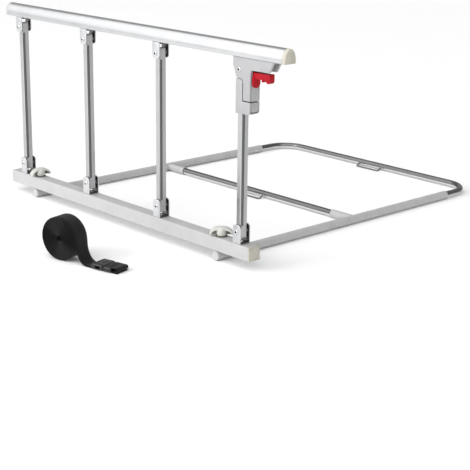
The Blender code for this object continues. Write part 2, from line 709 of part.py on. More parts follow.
def strap_loop_mesh(bar_y):
    """Flat wire loop on the near side of a bar at mid-span, where the strap is threaded."""
    half = LOOP_LENGTH / 2
    root = (THIN_TUBE_DIAMETER + THIN_TUBE_BORE) / 4
    bend = 0.006
    low = FLOOR_Z + LOOP_WIRE_RADIUS + 0.0006
    start = Vector((-half, bar_y - root * 0.93, TUBE_Z - root * 0.36))
    corner = Vector((-half, bar_y - LOOP_REACH, low))
    path = [start, start.lerp(corner, 1 - 2 * bend / LOOP_REACH)]
    for step in range(5):
        angle = math.radians(180 + 90 * step / 4)
        path.append(Vector((-half + bend + bend * math.cos(angle),
                            bar_y - LOOP_REACH + bend + bend * math.sin(angle), low)))
    mirrored = [Vector((-point.x, point.y, point.z)) for point in reversed(path)]
    return swept_rod(path + mirrored, LOOP_WIRE_RADIUS, 8)


def crossbar_mesh():
    half = STUB_END_X + CROSSBAR_INSERT
    bar = tube("X", CROSSBAR_Y, TUBE_Z, THIN_TUBE_DIAMETER / 2, THIN_TUBE_BORE / 2, -half, half, 16)
    return fuse(bar, strap_loop_mesh(CROSSBAR_Y))


def end_bow_mesh():
    """U-shaped end tube whose legs plug into the side tubes."""
    front = SIDE_TUBE_REAR - BOW_INSERT
    turn_x = SIDE_TUBE_X - BOW_CORNER
    turn_y = BOW_Y - BOW_CORNER
    path = [(SIDE_TUBE_X, front)] + arc(turn_x, turn_y, BOW_CORNER, 0, 90, 6)
    path += arc(-turn_x, turn_y, BOW_CORNER, 90, 180, 6) + [(-SIDE_TUBE_X, front)]
    points = [Vector((x, y, TUBE_Z)) for x, y in path]
    bow = swept_tube(points, THIN_TUBE_DIAMETER / 2, THIN_TUBE_BORE / 2, 12)
    holes = [cylinder("X", BUTTON_Y, TUBE_Z, BUTTON_RADIUS + BORE_CLEARANCE,
                      *sorted((side * SIDE_TUBE_X, side * (SIDE_TUBE_X - 0.012))), 16)
             for side in (-1, 1)]
    return cut(fuse(bow, strap_loop_mesh(BOW_Y)), *holes)


def snap_button_mesh(side):
    """Spring button on a tube's inner side, about the tube's axis; it points to the middle."""
    inward = -side
    proud = SIDE_TUBE_DIAMETER / 2 + BUTTON_PROUD
    profile = [(0.0, 0.0042), (0.0040, 0.0042), (0.0040, 0.0052), (BUTTON_RADIUS, 0.0052),
               (BUTTON_RADIUS, proud - 0.0012), (BUTTON_RADIUS - 0.0010, proud), (0.0, proud)]
    return lathe([(radius, inward * along) for radius, along in profile], "X", 16)


# ---------------------------------------------------------------- strap, about the roll's place

def band_outline(path, thickness):
    """Closed outline of a band of even thickness whose middle follows a path."""
    left = []
    right = []
    for index, (u, v) in enumerate(path):
        before = path[max(index - 1, 0)]
        after = path[min(index + 1, len(path) - 1)]
        length = math.hypot(after[0] - before[0], after[1] - before[1])
        normal = (-(after[1] - before[1]) / length, (after[0] - before[0]) / length)
        left.append((u + normal[0] * thickness / 2, v + normal[1] * thickness / 2))
        right.append((u - normal[0] * thickness / 2, v - normal[1] * thickness / 2))
    return left + right[::-1]


def strap_roll_mesh():
    return cylinder("Y", 0.0, ROLL_RADIUS + GAP, ROLL_RADIUS, -WEBBING_WIDTH / 2,
                    WEBBING_WIDTH / 2, 36)


def strap_tail_mesh():
    """The strap's last stretch: over the roll, down its side and out along the floor."""
    middle = WEBBING_THICKNESS / 2
    wrap = ROLL_RADIUS + GAP + middle
    path = arc(0.0, ROLL_RADIUS + GAP, wrap, 100, 0, 14)
    landing_x = wrap + 0.0230
    bend = 0.0230
    path += arc(landing_x, bend + middle, bend, 180, 270, 8)[1:]
    path += [(TAIL_END, middle)]
    return prism(band_outline(path, WEBBING_THICKNESS), "Y", -WEBBING_WIDTH / 2, WEBBING_WIDTH / 2)


def buckle_base():
    return WEBBING_THICKNESS + GAP


def buckle_socket_mesh():
    """Buckle half that takes the prongs: open towards the free end, with side windows."""
    base = buckle_base()
    width = BUCKLE_HALF_WIDTH
    low = base + BUCKLE_WALL
    high = base + BUCKLE_RISE - BUCKLE_WALL
    shell = box((SOCKET_START, -width, base), (SOCKET_END, width, base + BUCKLE_RISE))
    bevel_sharp(shell, 0.0015, 2)
    mouth = box((SOCKET_START + 0.005, -width + 0.004, low), (SOCKET_END + 0.010, width - 0.004, high))
    window = (SOCKET_START + 0.012, SOCKET_END - 0.006)
    windows = [box((window[0], min(side * 0.007, side * 0.030), low),
                   (window[1], max(side * 0.007, side * 0.030), high)) for side in (-1, 1)]
    return cut(shell, mouth, *windows)


def buckle_prong_mesh():
    """Buckle half with a guide bar and two side arms; its frame holds the webbing."""
    base = buckle_base()
    width = BUCKLE_HALF_WIDTH
    low = base + BUCKLE_WALL + GAP
    high = base + BUCKLE_RISE - BUCKLE_WALL - GAP
    start = SOCKET_END + GAP
    frame = box((start, -width, base), (PRONG_END, width, base + BUCKLE_RISE - 0.001))
    bevel_sharp(frame, 0.0012, 2)
    arms = [box((SOCKET_END - PRONG_REACH, middle - 0.0026, low),
                (start + 0.002, middle + 0.0026, high)) for middle in (-0.014, 0.0, 0.014)]
    return fuse(frame, *arms)


def strap_end_loop_mesh():
    """Short end of webbing, folded back on itself beyond the buckle."""
    radius = (BUCKLE_RISE - WEBBING_THICKNESS) / 2
    low = buckle_base() + WEBBING_THICKNESS / 2
    start_x = PRONG_END + 0.001
    path = [(start_x, low)] + arc(PRONG_END + 0.010, low + radius, radius, -90, 90, 8)
    path += [(start_x, low + 2 * radius)]
    return prism(band_outline(path, WEBBING_THICKNESS), "Y", -WEBBING_WIDTH / 2, WEBBING_WIDTH / 2)


# ---------------------------------------------------------------- assembly

def add_base(finish):
    add_piece("base_rail", mesh_data("base_rail", base_rail_mesh()), finish["painted_rail"])
    for name, side in (("left", -1), ("right", 1)):
        cap = mesh_data("base_cap_" + name, base_cap_mesh(side))
        add_piece("base_cap_" + name, cap, finish["ivory_plastic"])


def add_lower_hinges(finish):
    bracket = mesh_data("lower_bracket", lower_bracket_mesh())
    rivet = mesh_data("lower_rivet", rivet_mesh(BRACKET_DEPTH / 2))
    screw = mesh_data("bracket_screw", bracket_screw_mesh())
    for number, x in enumerate(POST_XS, 1):
        place = (x, 0.0, LOWER_PIVOT_Z)
        add_piece(f"lower_bracket_{number}", bracket, finish["bracket_steel"], place)
        add_piece(f"lower_rivet_{number}", rivet, finish["bright_steel"], place)
        add_piece(f"bracket_screw_{number}", screw, finish["bright_steel"], place)


def add_posts(finish):
    plain = mesh_data("post", post_mesh(BOSS_RADIUS + GAP))
    latched = mesh_data("latch_post", post_mesh(RIVET_RADIUS + BORE_CLEARANCE))
    foot = mesh_data("post_foot", post_plug_mesh(-1, POST_END))
    head = mesh_data("post_head", post_plug_mesh(1, POST_TOP))
    for number, x in enumerate(POST_XS, 1):
        place = Vector((x, 0.0, LOWER_PIVOT_Z))
        hinge = pivot(f"post_pivot_{number}", place)
        tube_data = latched if number == POST_COUNT else plain
        add_piece(f"post_{number}", tube_data, finish["satin_aluminium"], place, hinge)
        add_piece(f"post_foot_{number}", foot, finish["grey_plastic"], place, hinge)
        top = place + Vector((0.0, 0.0, LINK_LENGTH))
        if number < POST_COUNT:
            add_piece(f"post_head_{number}", head, finish["grey_plastic"], top, hinge)
        else:
            collar = mesh_data("latch_collar", latch_collar_mesh())
            add_piece("latch_collar", collar, finish["latch_silver"], top, hinge)


def add_handrail(finish):
    hinge = pivot("handrail_pivot", Vector((POST_XS[0], 0.0, UPPER_PIVOT_Z)))
    rail = mesh_data("handrail", handrail_mesh())
    add_piece("handrail", rail, finish["satin_aluminium"], (0, 0, 0), hinge)
    caps = (("left", -1, "white_plastic"), ("right", 1, "ivory_plastic"))
    for name, side, colour in caps:
        cap = mesh_data("handrail_cap_" + name, handrail_cap_mesh(side))
        add_piece("handrail_cap_" + name, cap, finish[colour], (0, 0, 0), hinge)
    bracket = mesh_data("upper_bracket", upper_bracket_mesh())
    rivet = mesh_data("upper_rivet", rivet_mesh(BRACKET_DEPTH / 2))
    for number, x in enumerate(POST_XS[:-1], 1):
        place = (x, 0.0, UPPER_PIVOT_Z)
        add_piece(f"upper_bracket_{number}", bracket, finish["bracket_steel"], place, hinge)
        add_piece(f"upper_rivet_{number}", rivet, finish["bright_steel"], place, hinge)
    place = (POST_XS[-1], 0.0, UPPER_PIVOT_Z)
    housing = mesh_data("latch_housing", latch_housing_mesh())
    add_piece("latch_housing", housing, finish["latch_silver"], place, hinge)
    pin = mesh_data("latch_rivet", rivet_mesh(LATCH_HALF_DEPTH))
    add_piece("latch_rivet", pin, finish["bright_steel"], place, hinge)
    return hinge


def add_release(finish, hinge):
    corner = Vector((POST_XS[-1], 0.0, UPPER_PIVOT_Z))
    on_bolt = corner + Vector((BOLT_X, 0.0, 0.0))
    slider = pivot("release_slide", on_bolt)
    slider.parent = hinge
    slider.location = on_bolt - ORIGIN - hinge.location
    bpy.context.view_layer.update()
    pieces = (("latch_bolt", latch_bolt_mesh(), "bright_steel", on_bolt),
              ("latch_spring", latch_spring_mesh(), "bright_steel", on_bolt),
              ("release_lever", release_lever_mesh(), "lever_red", corner))
    for name, mesh, colour, place in pieces:
        piece = add_piece(name, mesh_data(name, mesh), finish[colour], place)
        piece.parent = slider
        piece.location = place - on_bolt


def add_knobs(finish):
    knob = mesh_data("knob", knob_mesh())
    stud = mesh_data("knob_stud", knob_stud_mesh())
    washer = mesh_data("knob_washer", knob_washer_mesh())
    foot = RAIL_TOP + WASHER_THICKNESS + 2 * GAP
    for name, side, turn in (("left", -1, 80.0), ("right", 1, 44.0)):
        place = Vector((side * SIDE_TUBE_X, 0.0, foot))
        screw = pivot(f"knob_pivot_{name}", place)
        add_piece(f"knob_{name}", knob, finish["knob_plastic"], place, screw, turn)
        add_piece(f"knob_stud_{name}", stud, finish["bright_steel"], place, screw)
        under = (side * SIDE_TUBE_X, 0.0, RAIL_TOP + GAP)
        add_piece(f"knob_washer_{name}", washer, finish["rubber"], under)


def add_frame(finish):
    plug = mesh_data("tube_plug", tube_plug_mesh())
    for name, side in (("left", -1), ("right", 1)):
        body = mesh_data("side_tube_" + name, side_tube_mesh(side))
        add_piece("side_tube_" + name, body, finish["painted_frame"])
        front = (side * SIDE_TUBE_X, SIDE_TUBE_FRONT, TUBE_Z)
        add_piece("tube_plug_" + name, plug, finish["white_plastic"], front)
        button = mesh_data("snap_button_" + name, snap_button_mesh(side))
        place = (side * SIDE_TUBE_X, BUTTON_Y, TUBE_Z)
        add_piece("snap_button_" + name, button, finish["bright_steel"], place)
    add_piece("crossbar", mesh_data("crossbar", crossbar_mesh()), finish["tube_steel"])
    add_piece("end_bow", mesh_data("end_bow", end_bow_mesh()), finish["tube_steel"])


def add_strap(finish):
    pieces = (("strap_roll", strap_roll_mesh(), "webbing"),
              ("strap_tail", strap_tail_mesh(), "webbing"),
              ("buckle_socket", buckle_socket_mesh(), "buckle_black"),
              ("buckle_prong", buckle_prong_mesh(), "buckle_black"),
              ("strap_end_loop", strap_end_loop_mesh(), "webbing"))
    for name, mesh, colour in pieces:
        add_piece(name, mesh_data(name, mesh), finish[colour], STRAP_ORIGIN, None, STRAP_TURN)


def main():
    clear_scene()
    finish = make_materials()
    add_base(finish)
    add_lower_hinges(finish)
    add_posts(finish)
    hinge = add_handrail(finish)
    add_release(finish, hinge)
    add_knobs(finish)
    add_frame(finish)
    add_strap(finish)


main()
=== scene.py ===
"""Looks of the bed assist rail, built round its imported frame.

X runs along the rails towards the latch, Y from the base rail towards the mattress, Z up; metres.
The shapes are worked out from the rail's middle and underside; ORIGIN is the frame's own zero there.
"""

import json
from math import cos, pi, radians, sin, sqrt

import bmesh
import bpy
from mathutils import Matrix, Vector, noise


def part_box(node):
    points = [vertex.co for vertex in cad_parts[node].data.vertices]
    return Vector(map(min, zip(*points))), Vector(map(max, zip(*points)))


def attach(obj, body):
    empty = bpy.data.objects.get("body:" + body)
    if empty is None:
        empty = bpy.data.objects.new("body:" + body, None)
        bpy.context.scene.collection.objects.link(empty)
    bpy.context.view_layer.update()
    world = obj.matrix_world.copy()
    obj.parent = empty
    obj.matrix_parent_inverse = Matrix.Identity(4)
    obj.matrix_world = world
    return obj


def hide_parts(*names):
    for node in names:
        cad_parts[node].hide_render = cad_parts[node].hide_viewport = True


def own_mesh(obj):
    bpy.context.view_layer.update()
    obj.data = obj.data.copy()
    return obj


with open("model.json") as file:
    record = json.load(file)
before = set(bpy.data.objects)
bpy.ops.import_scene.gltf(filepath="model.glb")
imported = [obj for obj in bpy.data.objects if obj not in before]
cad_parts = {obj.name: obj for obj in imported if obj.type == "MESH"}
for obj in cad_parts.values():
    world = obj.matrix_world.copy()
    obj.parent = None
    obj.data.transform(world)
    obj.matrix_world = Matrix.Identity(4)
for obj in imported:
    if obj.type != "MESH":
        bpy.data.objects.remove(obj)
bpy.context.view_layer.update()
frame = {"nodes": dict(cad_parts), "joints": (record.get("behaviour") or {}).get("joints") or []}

# ---------------------------------------------------------------- sizes, as in the CAD source

JOINTS = {joint["name"]: joint for joint in frame["joints"]}
ORIGIN = Vector((0.0, 0.0155, 0.015))
LOWER_PIVOTS = [Vector(JOINTS[f"fold_post_{number}"]["pos_m"]) + ORIGIN for number in (1, 2, 3, 4)]
LINK_LENGTH = JOINTS["handrail_level"]["pos_m"][2] - JOINTS["fold_post_1"]["pos_m"][2]
UPPER_PIVOTS = [place + Vector((0.0, 0.0, LINK_LENGTH)) for place in LOWER_PIVOTS]


def node_box(name):
    low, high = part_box(name)
    return low + ORIGIN, high + ORIGIN


FLOOR_Z = node_box("side_tube_left")[0].z

GAP = 0.0003
RAIL_DEPTH = 0.031
RAIL_HEIGHT = 0.030
RAIL_TOP = 0.030
RAIL_WALL = 0.0015
RAIL_CORNER = 0.0022
CAP_PLUG = 0.016
HANDRAIL_WIDTH = 0.030
HANDRAIL_HEIGHT = 0.0295
HANDRAIL_WALL = 0.0016
HANDRAIL_BASE = node_box("handrail")[0].z
HANDRAIL_CAP = 0.0088
HANDRAIL_SHOULDER = 0.005
POST_WIDTH = 0.015
POST_DEPTH = 0.019
POST_CORNER = 0.003
POST_WALL = 0.0014
POST_CROWN = 0.025
POST_GROOVE = (-0.0084, -0.0023)
POST_GROOVE_DEPTH = 0.0008
POST_GROOVE_START = 0.013
POST_END = 0.0115
POST_TOP = 0.0085
END_FLANGE = 0.002
BOSS_RADIUS = 0.0055
PIVOT_RISE = 0.0253
PIVOT_DROP = HANDRAIL_BASE - UPPER_PIVOTS[0].z
BRACKET_WIDTH = 0.0225
BRACKET_DEPTH = 0.028
BRACKET_PLATE = 0.003
EAR_THICKNESS = 0.0022
EAR_CORNER = 0.008
LOWER_EAR_TOP = 0.015
UPPER_EAR_END = 0.011
RIVET_RADIUS = 0.003
RIVET_HEAD_RADIUS = 0.0050
RIVET_HEAD_RISE = 0.0022
RIVET_HOLE_RADIUS = 0.0024
SCREW_RADIUS = 0.0026
SIDE_TUBE_X = 0.330
SIDE_TUBE_RADIUS = 0.010
SIDE_TUBE_BORE = 0.0082
SIDE_TUBE_FRONT = -0.0155
SIDE_TUBE_REAR = 0.747
TUBE_Z = FLOOR_Z + SIDE_TUBE_RADIUS
STUB_RADIUS = 0.0095
STUB_END_X = 0.265
THIN_TUBE_RADIUS = 0.0079
THIN_TUBE_BORE = 0.0067
CROSSBAR_Y = 0.410
BOW_Y = 0.8505
BOW_CORNER = 0.065
LOOP_LENGTH = 0.075
LOOP_REACH = 0.022
LOOP_WIRE_RADIUS = 0.0019
SPRING_WIRE_RADIUS = 0.0005
SPRING_TURNS = 6
BUTTON_Y = 0.722
BUTTON_RADIUS = 0.0032
KNOB_SPAN = 0.050
KNOB_WING_HALF = 0.0078
KNOB_RISE = 0.0190
STUD_RADIUS = 0.004
KNOB_FOOT_Z = RAIL_TOP + 0.002 + 2 * GAP
KNOB_TURNS = {"left": 80.0, "right": 44.0}
LATCH_HALF_DEPTH = 0.0125
ARM_LEFT = 0.0103
ARM_RIGHT = 0.0330
ARM_BOTTOM = -0.0610
COLLAR_BOTTOM = -0.0880
BOLT_X = 0.0220
BOLT_RADIUS = 0.0035
BOLT_TIP = -0.0662
COLLAR_SWEEP = 0.0180
LEVER_HALF_DEPTH = 0.0070
LEG_HALF_DEPTH = 0.0098
LEG_THICKNESS = 0.0045
SEAM = 0.0015
SEAM_REACH = 0.0003
LATCH_LINE_TOP = -0.0045
STRAP_PLACE = Vector((0.115, -0.245, FLOOR_Z))
STRAP_TURN = 13.0
WEBBING_WIDTH = 0.038
WEBBING_THICKNESS = 0.0014
ROLL_RADIUS = 0.0465
ROLL_CORE = 0.0065
ROLL_PITCH = 0.00172
BUCKLE_BASE = 0.0019
BUCKLE_RISE = 0.010
BUCKLE_HALF = 0.022
VIEW_ANGLES = (47.0266, 16.9004, 0.7933)
VIEW_PLACE = (2.19103, -1.71094, 0.78258)
VIEW_LENS = 96.754


# ---------------------------------------------------------------- mesh tools

def on_axis(axis, u, v, along):
    if axis == "X":
        return Vector((along, u, v))
    if axis == "Y":
        return Vector((u, along, v))
    return Vector((u, v, along))


def arc(centre_u, centre_v, radius, start, end, steps):
    angles = [radians(start + (end - start) * step / steps) for step in range(steps + 1)]
    return [(centre_u + radius * cos(a), centre_v + radius * sin(a)) for a in angles]


def circle(centre_u, centre_v, radius, sides):
    return arc(centre_u, centre_v, radius, 0, 360 - 360 / sides, sides - 1)


def rounded_rectangle(width, height, radius, steps=6, centre=(0.0, 0.0), crown=0.0):
    """Outline of a rectangle with rounded corners; crown pulls the corners in from curved sides."""
    u = width / 2 - radius
    v = height / 2 - radius
    points = []
    for corner_u, corner_v, start in ((u, -v, -90), (u, v, 0), (-u, v, 90), (-u, -v, 180)):
        points += arc(corner_u, corner_v, radius, start, start + 90, steps)
        if crown:
            middle = radians(start + 90)
            side = Vector((cos(middle), sin(middle)))
            along = Vector((-side.y, side.x))
            reach = u + radius if abs(side.x) > 0.5 else v + radius
            span = v if abs(side.x) > 0.5 else u
            spots = [side * reach + along * (span * share) for share in (-0.66, -0.33, 0, 0.33, 0.66)]
            points += [tuple(spot) for spot in spots]
    if crown:
        points = [(a * (1 - crown * (b / (height / 2)) ** 2), b * (1 - crown * (a / (width / 2)) ** 2))
                  for a, b in points]
    return [(centre[0] + a, centre[1] + b) for a, b in points]


def close_mesh(mesh):
    bmesh.ops.recalc_face_normals(mesh, faces=mesh.faces)
    return mesh


def ring_at(mesh, outline, axis, along):
    return [mesh.verts.new(on_axis(axis, u, v, along)) for u, v in outline]


def join_rings(mesh, rings, closed=False):
    """Walls from each ring to the next, and from the last to the first if closed."""
    for first, second in zip(rings, rings[1:] + rings[:1] if closed else rings[1:]):
        for index in range(len(first)):
            following = (index + 1) % len(first)
            mesh.faces.new((first[index], first[following], second[following], second[index]))


def prism(outline, axis, start, end):
    """Solid of one outline between two ends, given in either order."""
    mesh = bmesh.new()
    rings = [ring_at(mesh, outline, axis, along) for along in sorted((start, end))]
    mesh.faces.new(rings[0])
    mesh.faces.new(rings[1])
    join_rings(mesh, rings)
    return close_mesh(mesh)


def hollow_prism(outer, inner, axis, low, high):
    mesh = bmesh.new()
    rings = [ring_at(mesh, outline, axis, along)
             for outline, along in ((outer, low), (outer, high), (inner, high), (inner, low))]
    join_rings(mesh, rings, closed=True)
    return close_mesh(mesh)


def box(low, high):
    outline = [(low[0], low[1]), (high[0], low[1]), (high[0], high[1]), (low[0], high[1])]
    return prism(outline, "Z", low[2], high[2])


def cylinder(axis, centre_u, centre_v, radius, low, high, sides=40):
    return prism(circle(centre_u, centre_v, radius, sides), axis, low, high)


def lathe(profile, axis, sides=40):
    mesh = bmesh.new()
    rings = []
    for radius, along in profile:
        if radius == 0.0:
            rings.append([mesh.verts.new(on_axis(axis, 0.0, 0.0, along))])
        else:
            rings.append(ring_at(mesh, circle(0.0, 0.0, radius, sides), axis, along))
    for first, second in zip(rings, rings[1:]):
        for index in range(sides):
            following = (index + 1) % sides
            corners = [first[index % len(first)], first[following % len(first)],
                       second[following % len(second)], second[index % len(second)]]
            mesh.faces.new(list(dict.fromkeys(corners)))
    return close_mesh(mesh)


def sweep_rings(mesh, path, radius, sides):
    rings = []
    for index, point in enumerate(path):
        before = path[max(index - 1, 0)]
        after = path[min(index + 1, len(path) - 1)]
        tangent = (after - before).normalized()
        side = tangent.cross(Vector((0, 0, 1))).normalized()
        lift = side.cross(tangent).normalized()
        ring = circle(0.0, 0.0, radius, sides)
        rings.append([mesh.verts.new(point + side * u + lift * v) for u, v in ring])
    return rings


def swept_rod(path, radius, sides=16):
    mesh = bmesh.new()
    rings = sweep_rings(mesh, path, radius, sides)
    join_rings(mesh, rings)
    mesh.faces.new(rings[0])
    mesh.faces.new(rings[-1])
    return close_mesh(mesh)


def swept_tube(path, outer, inner, sides=32):
    mesh = bmesh.new()
    outside = sweep_rings(mesh, path, outer, sides)
    inside = sweep_rings(mesh, path, inner, sides)
    for rings in (outside, inside, [outside[0], inside[0]], [outside[-1], inside[-1]]):
        join_rings(mesh, rings)
    return close_mesh(mesh)


def ring_solid(section, axis, sides):
    """A closed ring: a section of (radius, place) points turned right round the axis."""
    mesh = bmesh.new()
    rings = [ring_at(mesh, circle(0.0, 0.0, radius, sides), axis, along) for radius, along in section]
    join_rings(mesh, rings, closed=True)
    return close_mesh(mesh)


def smooth_path(points, spacing):
    """Catmull-Rom curve through (x, z) points, sampled at even steps."""
    dense = []
    padded = [points[0]] + points + [points[-1]]
    for index in range(1, len(padded) - 2):
        p0, p1, p2, p3 = (Vector(padded[index + shift]) for shift in (-1, 0, 1, 2))
        for step in range(8):
            t = step / 8
            dense.append(0.5 * (2 * p1 + (p2 - p0) * t + (2 * p0 - 5 * p1 + 4 * p2 - p3) * t ** 2
                                + (3 * p1 - p0 - 3 * p2 + p3) * t ** 3))
    dense.append(Vector(points[-1]))
    spaced = [dense[0]]
    for point in dense[1:]:
        if (point - spaced[-1]).length >= spacing:
            spaced.append(point)
    return spaced


def bevel_sharp(mesh, width, segments=3, keep=None, angle=40):
    """Round the edges that turn by more than angle, all of them or those that keep() picks."""
    limit = radians(angle)
    edges = [edge for edge in mesh.edges if edge.calc_face_angle(0.0) > limit]
    if keep:
        edges = [edge for edge in edges if all(keep(vert.co) for vert in edge.verts)]
    bmesh.ops.bevel(mesh, geom=edges, offset=width, segments=segments, profile=0.5,
                    affect="EDGES", clamp_overlap=True)
    return mesh


def working_object(mesh):
    data = bpy.data.meshes.new("working")
    mesh.to_mesh(data)
    mesh.free()
    thing = bpy.data.objects.new("working", data)
    bpy.context.scene.collection.objects.link(thing)
    return thing


def boolean(base, tools, operation):
    target = working_object(base)
    for tool_mesh in tools:
        tool = working_object(tool_mesh)
        modifier = target.modifiers.new("shape", "BOOLEAN")
        modifier.operation = operation
        modifier.solver = "EXACT"
        modifier.object = tool
        bpy.context.view_layer.update()
        graph = bpy.context.evaluated_depsgraph_get()
        result = bpy.data.meshes.new_from_object(target.evaluated_get(graph))
        target.modifiers.clear()
        spent = target.data
        target.data = result
        bpy.data.meshes.remove(spent)
        tool_data = tool.data
        bpy.data.objects.remove(tool)
        bpy.data.meshes.remove(tool_data)
    joined = bmesh.new()
    joined.from_mesh(target.data)
    data = target.data
    bpy.data.objects.remove(target)
    bpy.data.meshes.remove(data)
    return joined


def cut(base, *tools):
    return boolean(base, tools, "DIFFERENCE")


def fuse(base, *tools):
    return boolean(base, tools, "UNION")


def mesh_data(name, mesh, sharp_angle=35):
    data = bpy.data.meshes.new(name)
    mesh.to_mesh(data)
    mesh.free()
    data.shade_smooth()
    data.set_sharp_from_angle(angle=radians(sharp_angle))
    return data


def put(name, shape, look, body, nodes, place=(0, 0, 0), turn=0.0, sharp_angle=35):
    """Add one piece that stands for CAD nodes: its shape, look, body, slot and place."""
    is_new = isinstance(shape, bmesh.types.BMesh)
    data = mesh_data(name, shape, sharp_angle) if is_new else shape
    if not data.materials:
        data.materials.append(LOOKS[look])
    piece = bpy.data.objects.new(name, data)
    piece.location = Vector(place) - ORIGIN
    piece.rotation_euler = (0, 0, radians(turn))
    bpy.context.scene.collection.objects.link(piece)
    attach(piece, body)
    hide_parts(*nodes)
    return piece


# ---------------------------------------------------------------- materials

class Number:
    """A number in a node tree; arithmetic and comparisons on it add Math nodes."""

    def __init__(self, socket):
        self.socket = socket

    def by(self, operation, *others):
        made = add_node(self.socket.id_data, "Math", {"operation": operation},
                        dict(enumerate((self, *others))))
        return Number(made.outputs[0])

    def __add__(self, other):
        return self.by("ADD", other)

    def __sub__(self, other):
        return self.by("SUBTRACT", other)

    def __mul__(self, other):
        return self.by("MULTIPLY", other)

    def __truediv__(self, other):
        return self.by("DIVIDE", other)

    def __lt__(self, other):
        return self.by("LESS_THAN", other)

    def __gt__(self, other):
        return self.by("GREATER_THAN", other)

    def __abs__(self):
        return self.by("ABSOLUTE")

    def near(self, middle, reach):
        return self.by("COMPARE", middle, reach)

    def largest(self, other):
        return self.by("MAXIMUM", other)

    def ranged(self, low, high, to_low, to_high):
        inputs = {"Value": self, "From Min": low, "From Max": high, "To Min": to_low, "To Max": to_high}
        return Number(add_node(self.socket.id_data, "MapRange", inputs=inputs).outputs[0])


def add_node(tree, kind, settings=None, inputs=None):
    """Add a shader node; an input is a plain value, a socket or a Number."""
    made = tree.nodes.new("ShaderNode" + kind)
    for key, value in (settings or {}).items():
        setattr(made, key, value)
    for key, value in (inputs or {}).items():
        if isinstance(value, Number):
            value = value.socket
        if isinstance(value, bpy.types.NodeSocket):
            tree.links.new(value, made.inputs[key])
        else:
            made.inputs[key].default_value = value
    return made


def start_material(name, metallic, constants=None):
    made = bpy.data.materials.new(name)
    made.use_nodes = True
    shader = made.node_tree.nodes["Principled BSDF"]
    for key, value in {"Metallic": metallic, **(constants or {})}.items():
        shader.inputs[key].default_value = value
    return made, shader


def object_coordinates(shader):
    return add_node(shader.id_data, "TexCoord").outputs["Object"]


def axes_of(coordinates):
    made = add_node(coordinates.id_data, "SeparateXYZ", inputs={"Vector": coordinates})
    return [Number(socket) for socket in made.outputs]


def noise_at(coordinates, stretch, scale, detail=3.0, rough=0.55):
    tree = coordinates.id_data
    placed = add_node(tree, "Mapping", inputs={"Vector": coordinates, "Scale": stretch})
    made = add_node(tree, "TexNoise", inputs={"Vector": placed.outputs[0], "Scale": scale,
                                              "Detail": detail, "Roughness": rough})
    return Number(made.outputs[0])


def two_colours(factor, first, second):
    ramp = add_node(factor.socket.id_data, "ValToRGB", inputs={"Fac": factor})
    for stop, colour in zip(ramp.color_ramp.elements, (first, second)):
        stop.color = (*colour, 1.0)
    return ramp.outputs[0]


def shaded(colour, coordinates, shade):
    """The colour, with a second one painted where the mask in shade=(mask, colour) lies: painted shade,
    or on thin tubes a painted reflection.
    """
    if not shade:
        return colour
    mask, second = shade
    made = add_node(coordinates.id_data, "Mix", {"data_type": "RGBA"},
                    {0: mask(*axes_of(coordinates)), 6: colour, 7: (*second, 1.0)})
    return made.outputs[2]


def painted_tube_reflection(x, y, z):
    """Mask of a thin tube's underside, painted pale as a reflection of the floor, leaving out its strap
    loop.
    """
    low = z.ranged(TUBE_Z - 0.0002, TUBE_Z - 0.0012, 0.0, 1.0)
    loops = y.near(CROSSBAR_Y - 0.0162, 0.0078) + y.near(BOW_Y - 0.0162, 0.0078)
    return low - low * loops * (abs(x) < LOOP_LENGTH / 2 + 0.004)


def painted_groove_and_side_shade(x, y, z):
    """Mask of the groove floors of a post, painted dark as shade in the groove, and faintly of its flat
    sides, painted a little darker as side shade.
    """
    depth = abs(x)
    low, high = POST_GROOVE
    floor = depth.near(POST_WIDTH / 2 - POST_GROOVE_DEPTH, 0.00035)
    across = y.near((low + high) / 2, (high - low) / 2 + 0.0001)
    return (floor * across).largest((depth > 0.00708) * 0.22)


def painted_bracket_shade(x, y, z):
    """Mask of everything between a bracket's ears, painted dark as shade."""
    return abs(y) < BRACKET_DEPTH / 2 - EAR_THICKNESS + 0.0001


def painted_wing_pocket_shade(x, y, z):
    """Mask of the pockets under a knob's arched wings, painted dark olive as shade."""
    along = x / 0.0232
    up = z / 0.0130
    below = (along * along + up * up < 1.0) * (abs(x) > 0.0098)
    return below * (abs(y) < KNOB_WING_HALF - 0.0008)


def painted_seam_shade(x, y, z):
    """Mask of the walls inside the latch's parting seams and the floors of its edge lines, painted near
    black as shade.
    """
    line = x.near(ARM_RIGHT - SEAM, SEAM_REACH) * (z < LATCH_LINE_TOP - 0.0001)
    upright = x.near(ARM_LEFT + SEAM / 3, SEAM_REACH) + x.near(ARM_LEFT - SEAM * 0.67, SEAM_REACH)
    level = z.near(ARM_BOTTOM, SEAM_REACH) + z.near(ARM_BOTTOM - SEAM, SEAM_REACH)
    beside_arm = upright * z.near(-0.0445, 0.0180)
    under_arm = level * (x > ARM_LEFT - SEAM / 2)
    return line.largest(beside_arm.largest(under_arm))


def painted_rivet_hole_shade(x, y, z):
    """Mask of the hollow end of a rivet, painted near black as shade in the hole."""
    return x * x + z * z < RIVET_HOLE_RADIUS ** 2


def finish_surface(shader, colour, roughness, height, strength, distance):
    tree = shader.id_data
    bump = add_node(tree, "Bump", inputs={"Height": height, "Strength": strength,
                                          "Distance": distance})
    tree.links.new(colour, shader.inputs["Base Color"])
    tree.links.new(roughness.socket, shader.inputs["Roughness"])
    tree.links.new(bump.outputs[0], shader.inputs["Normal"])


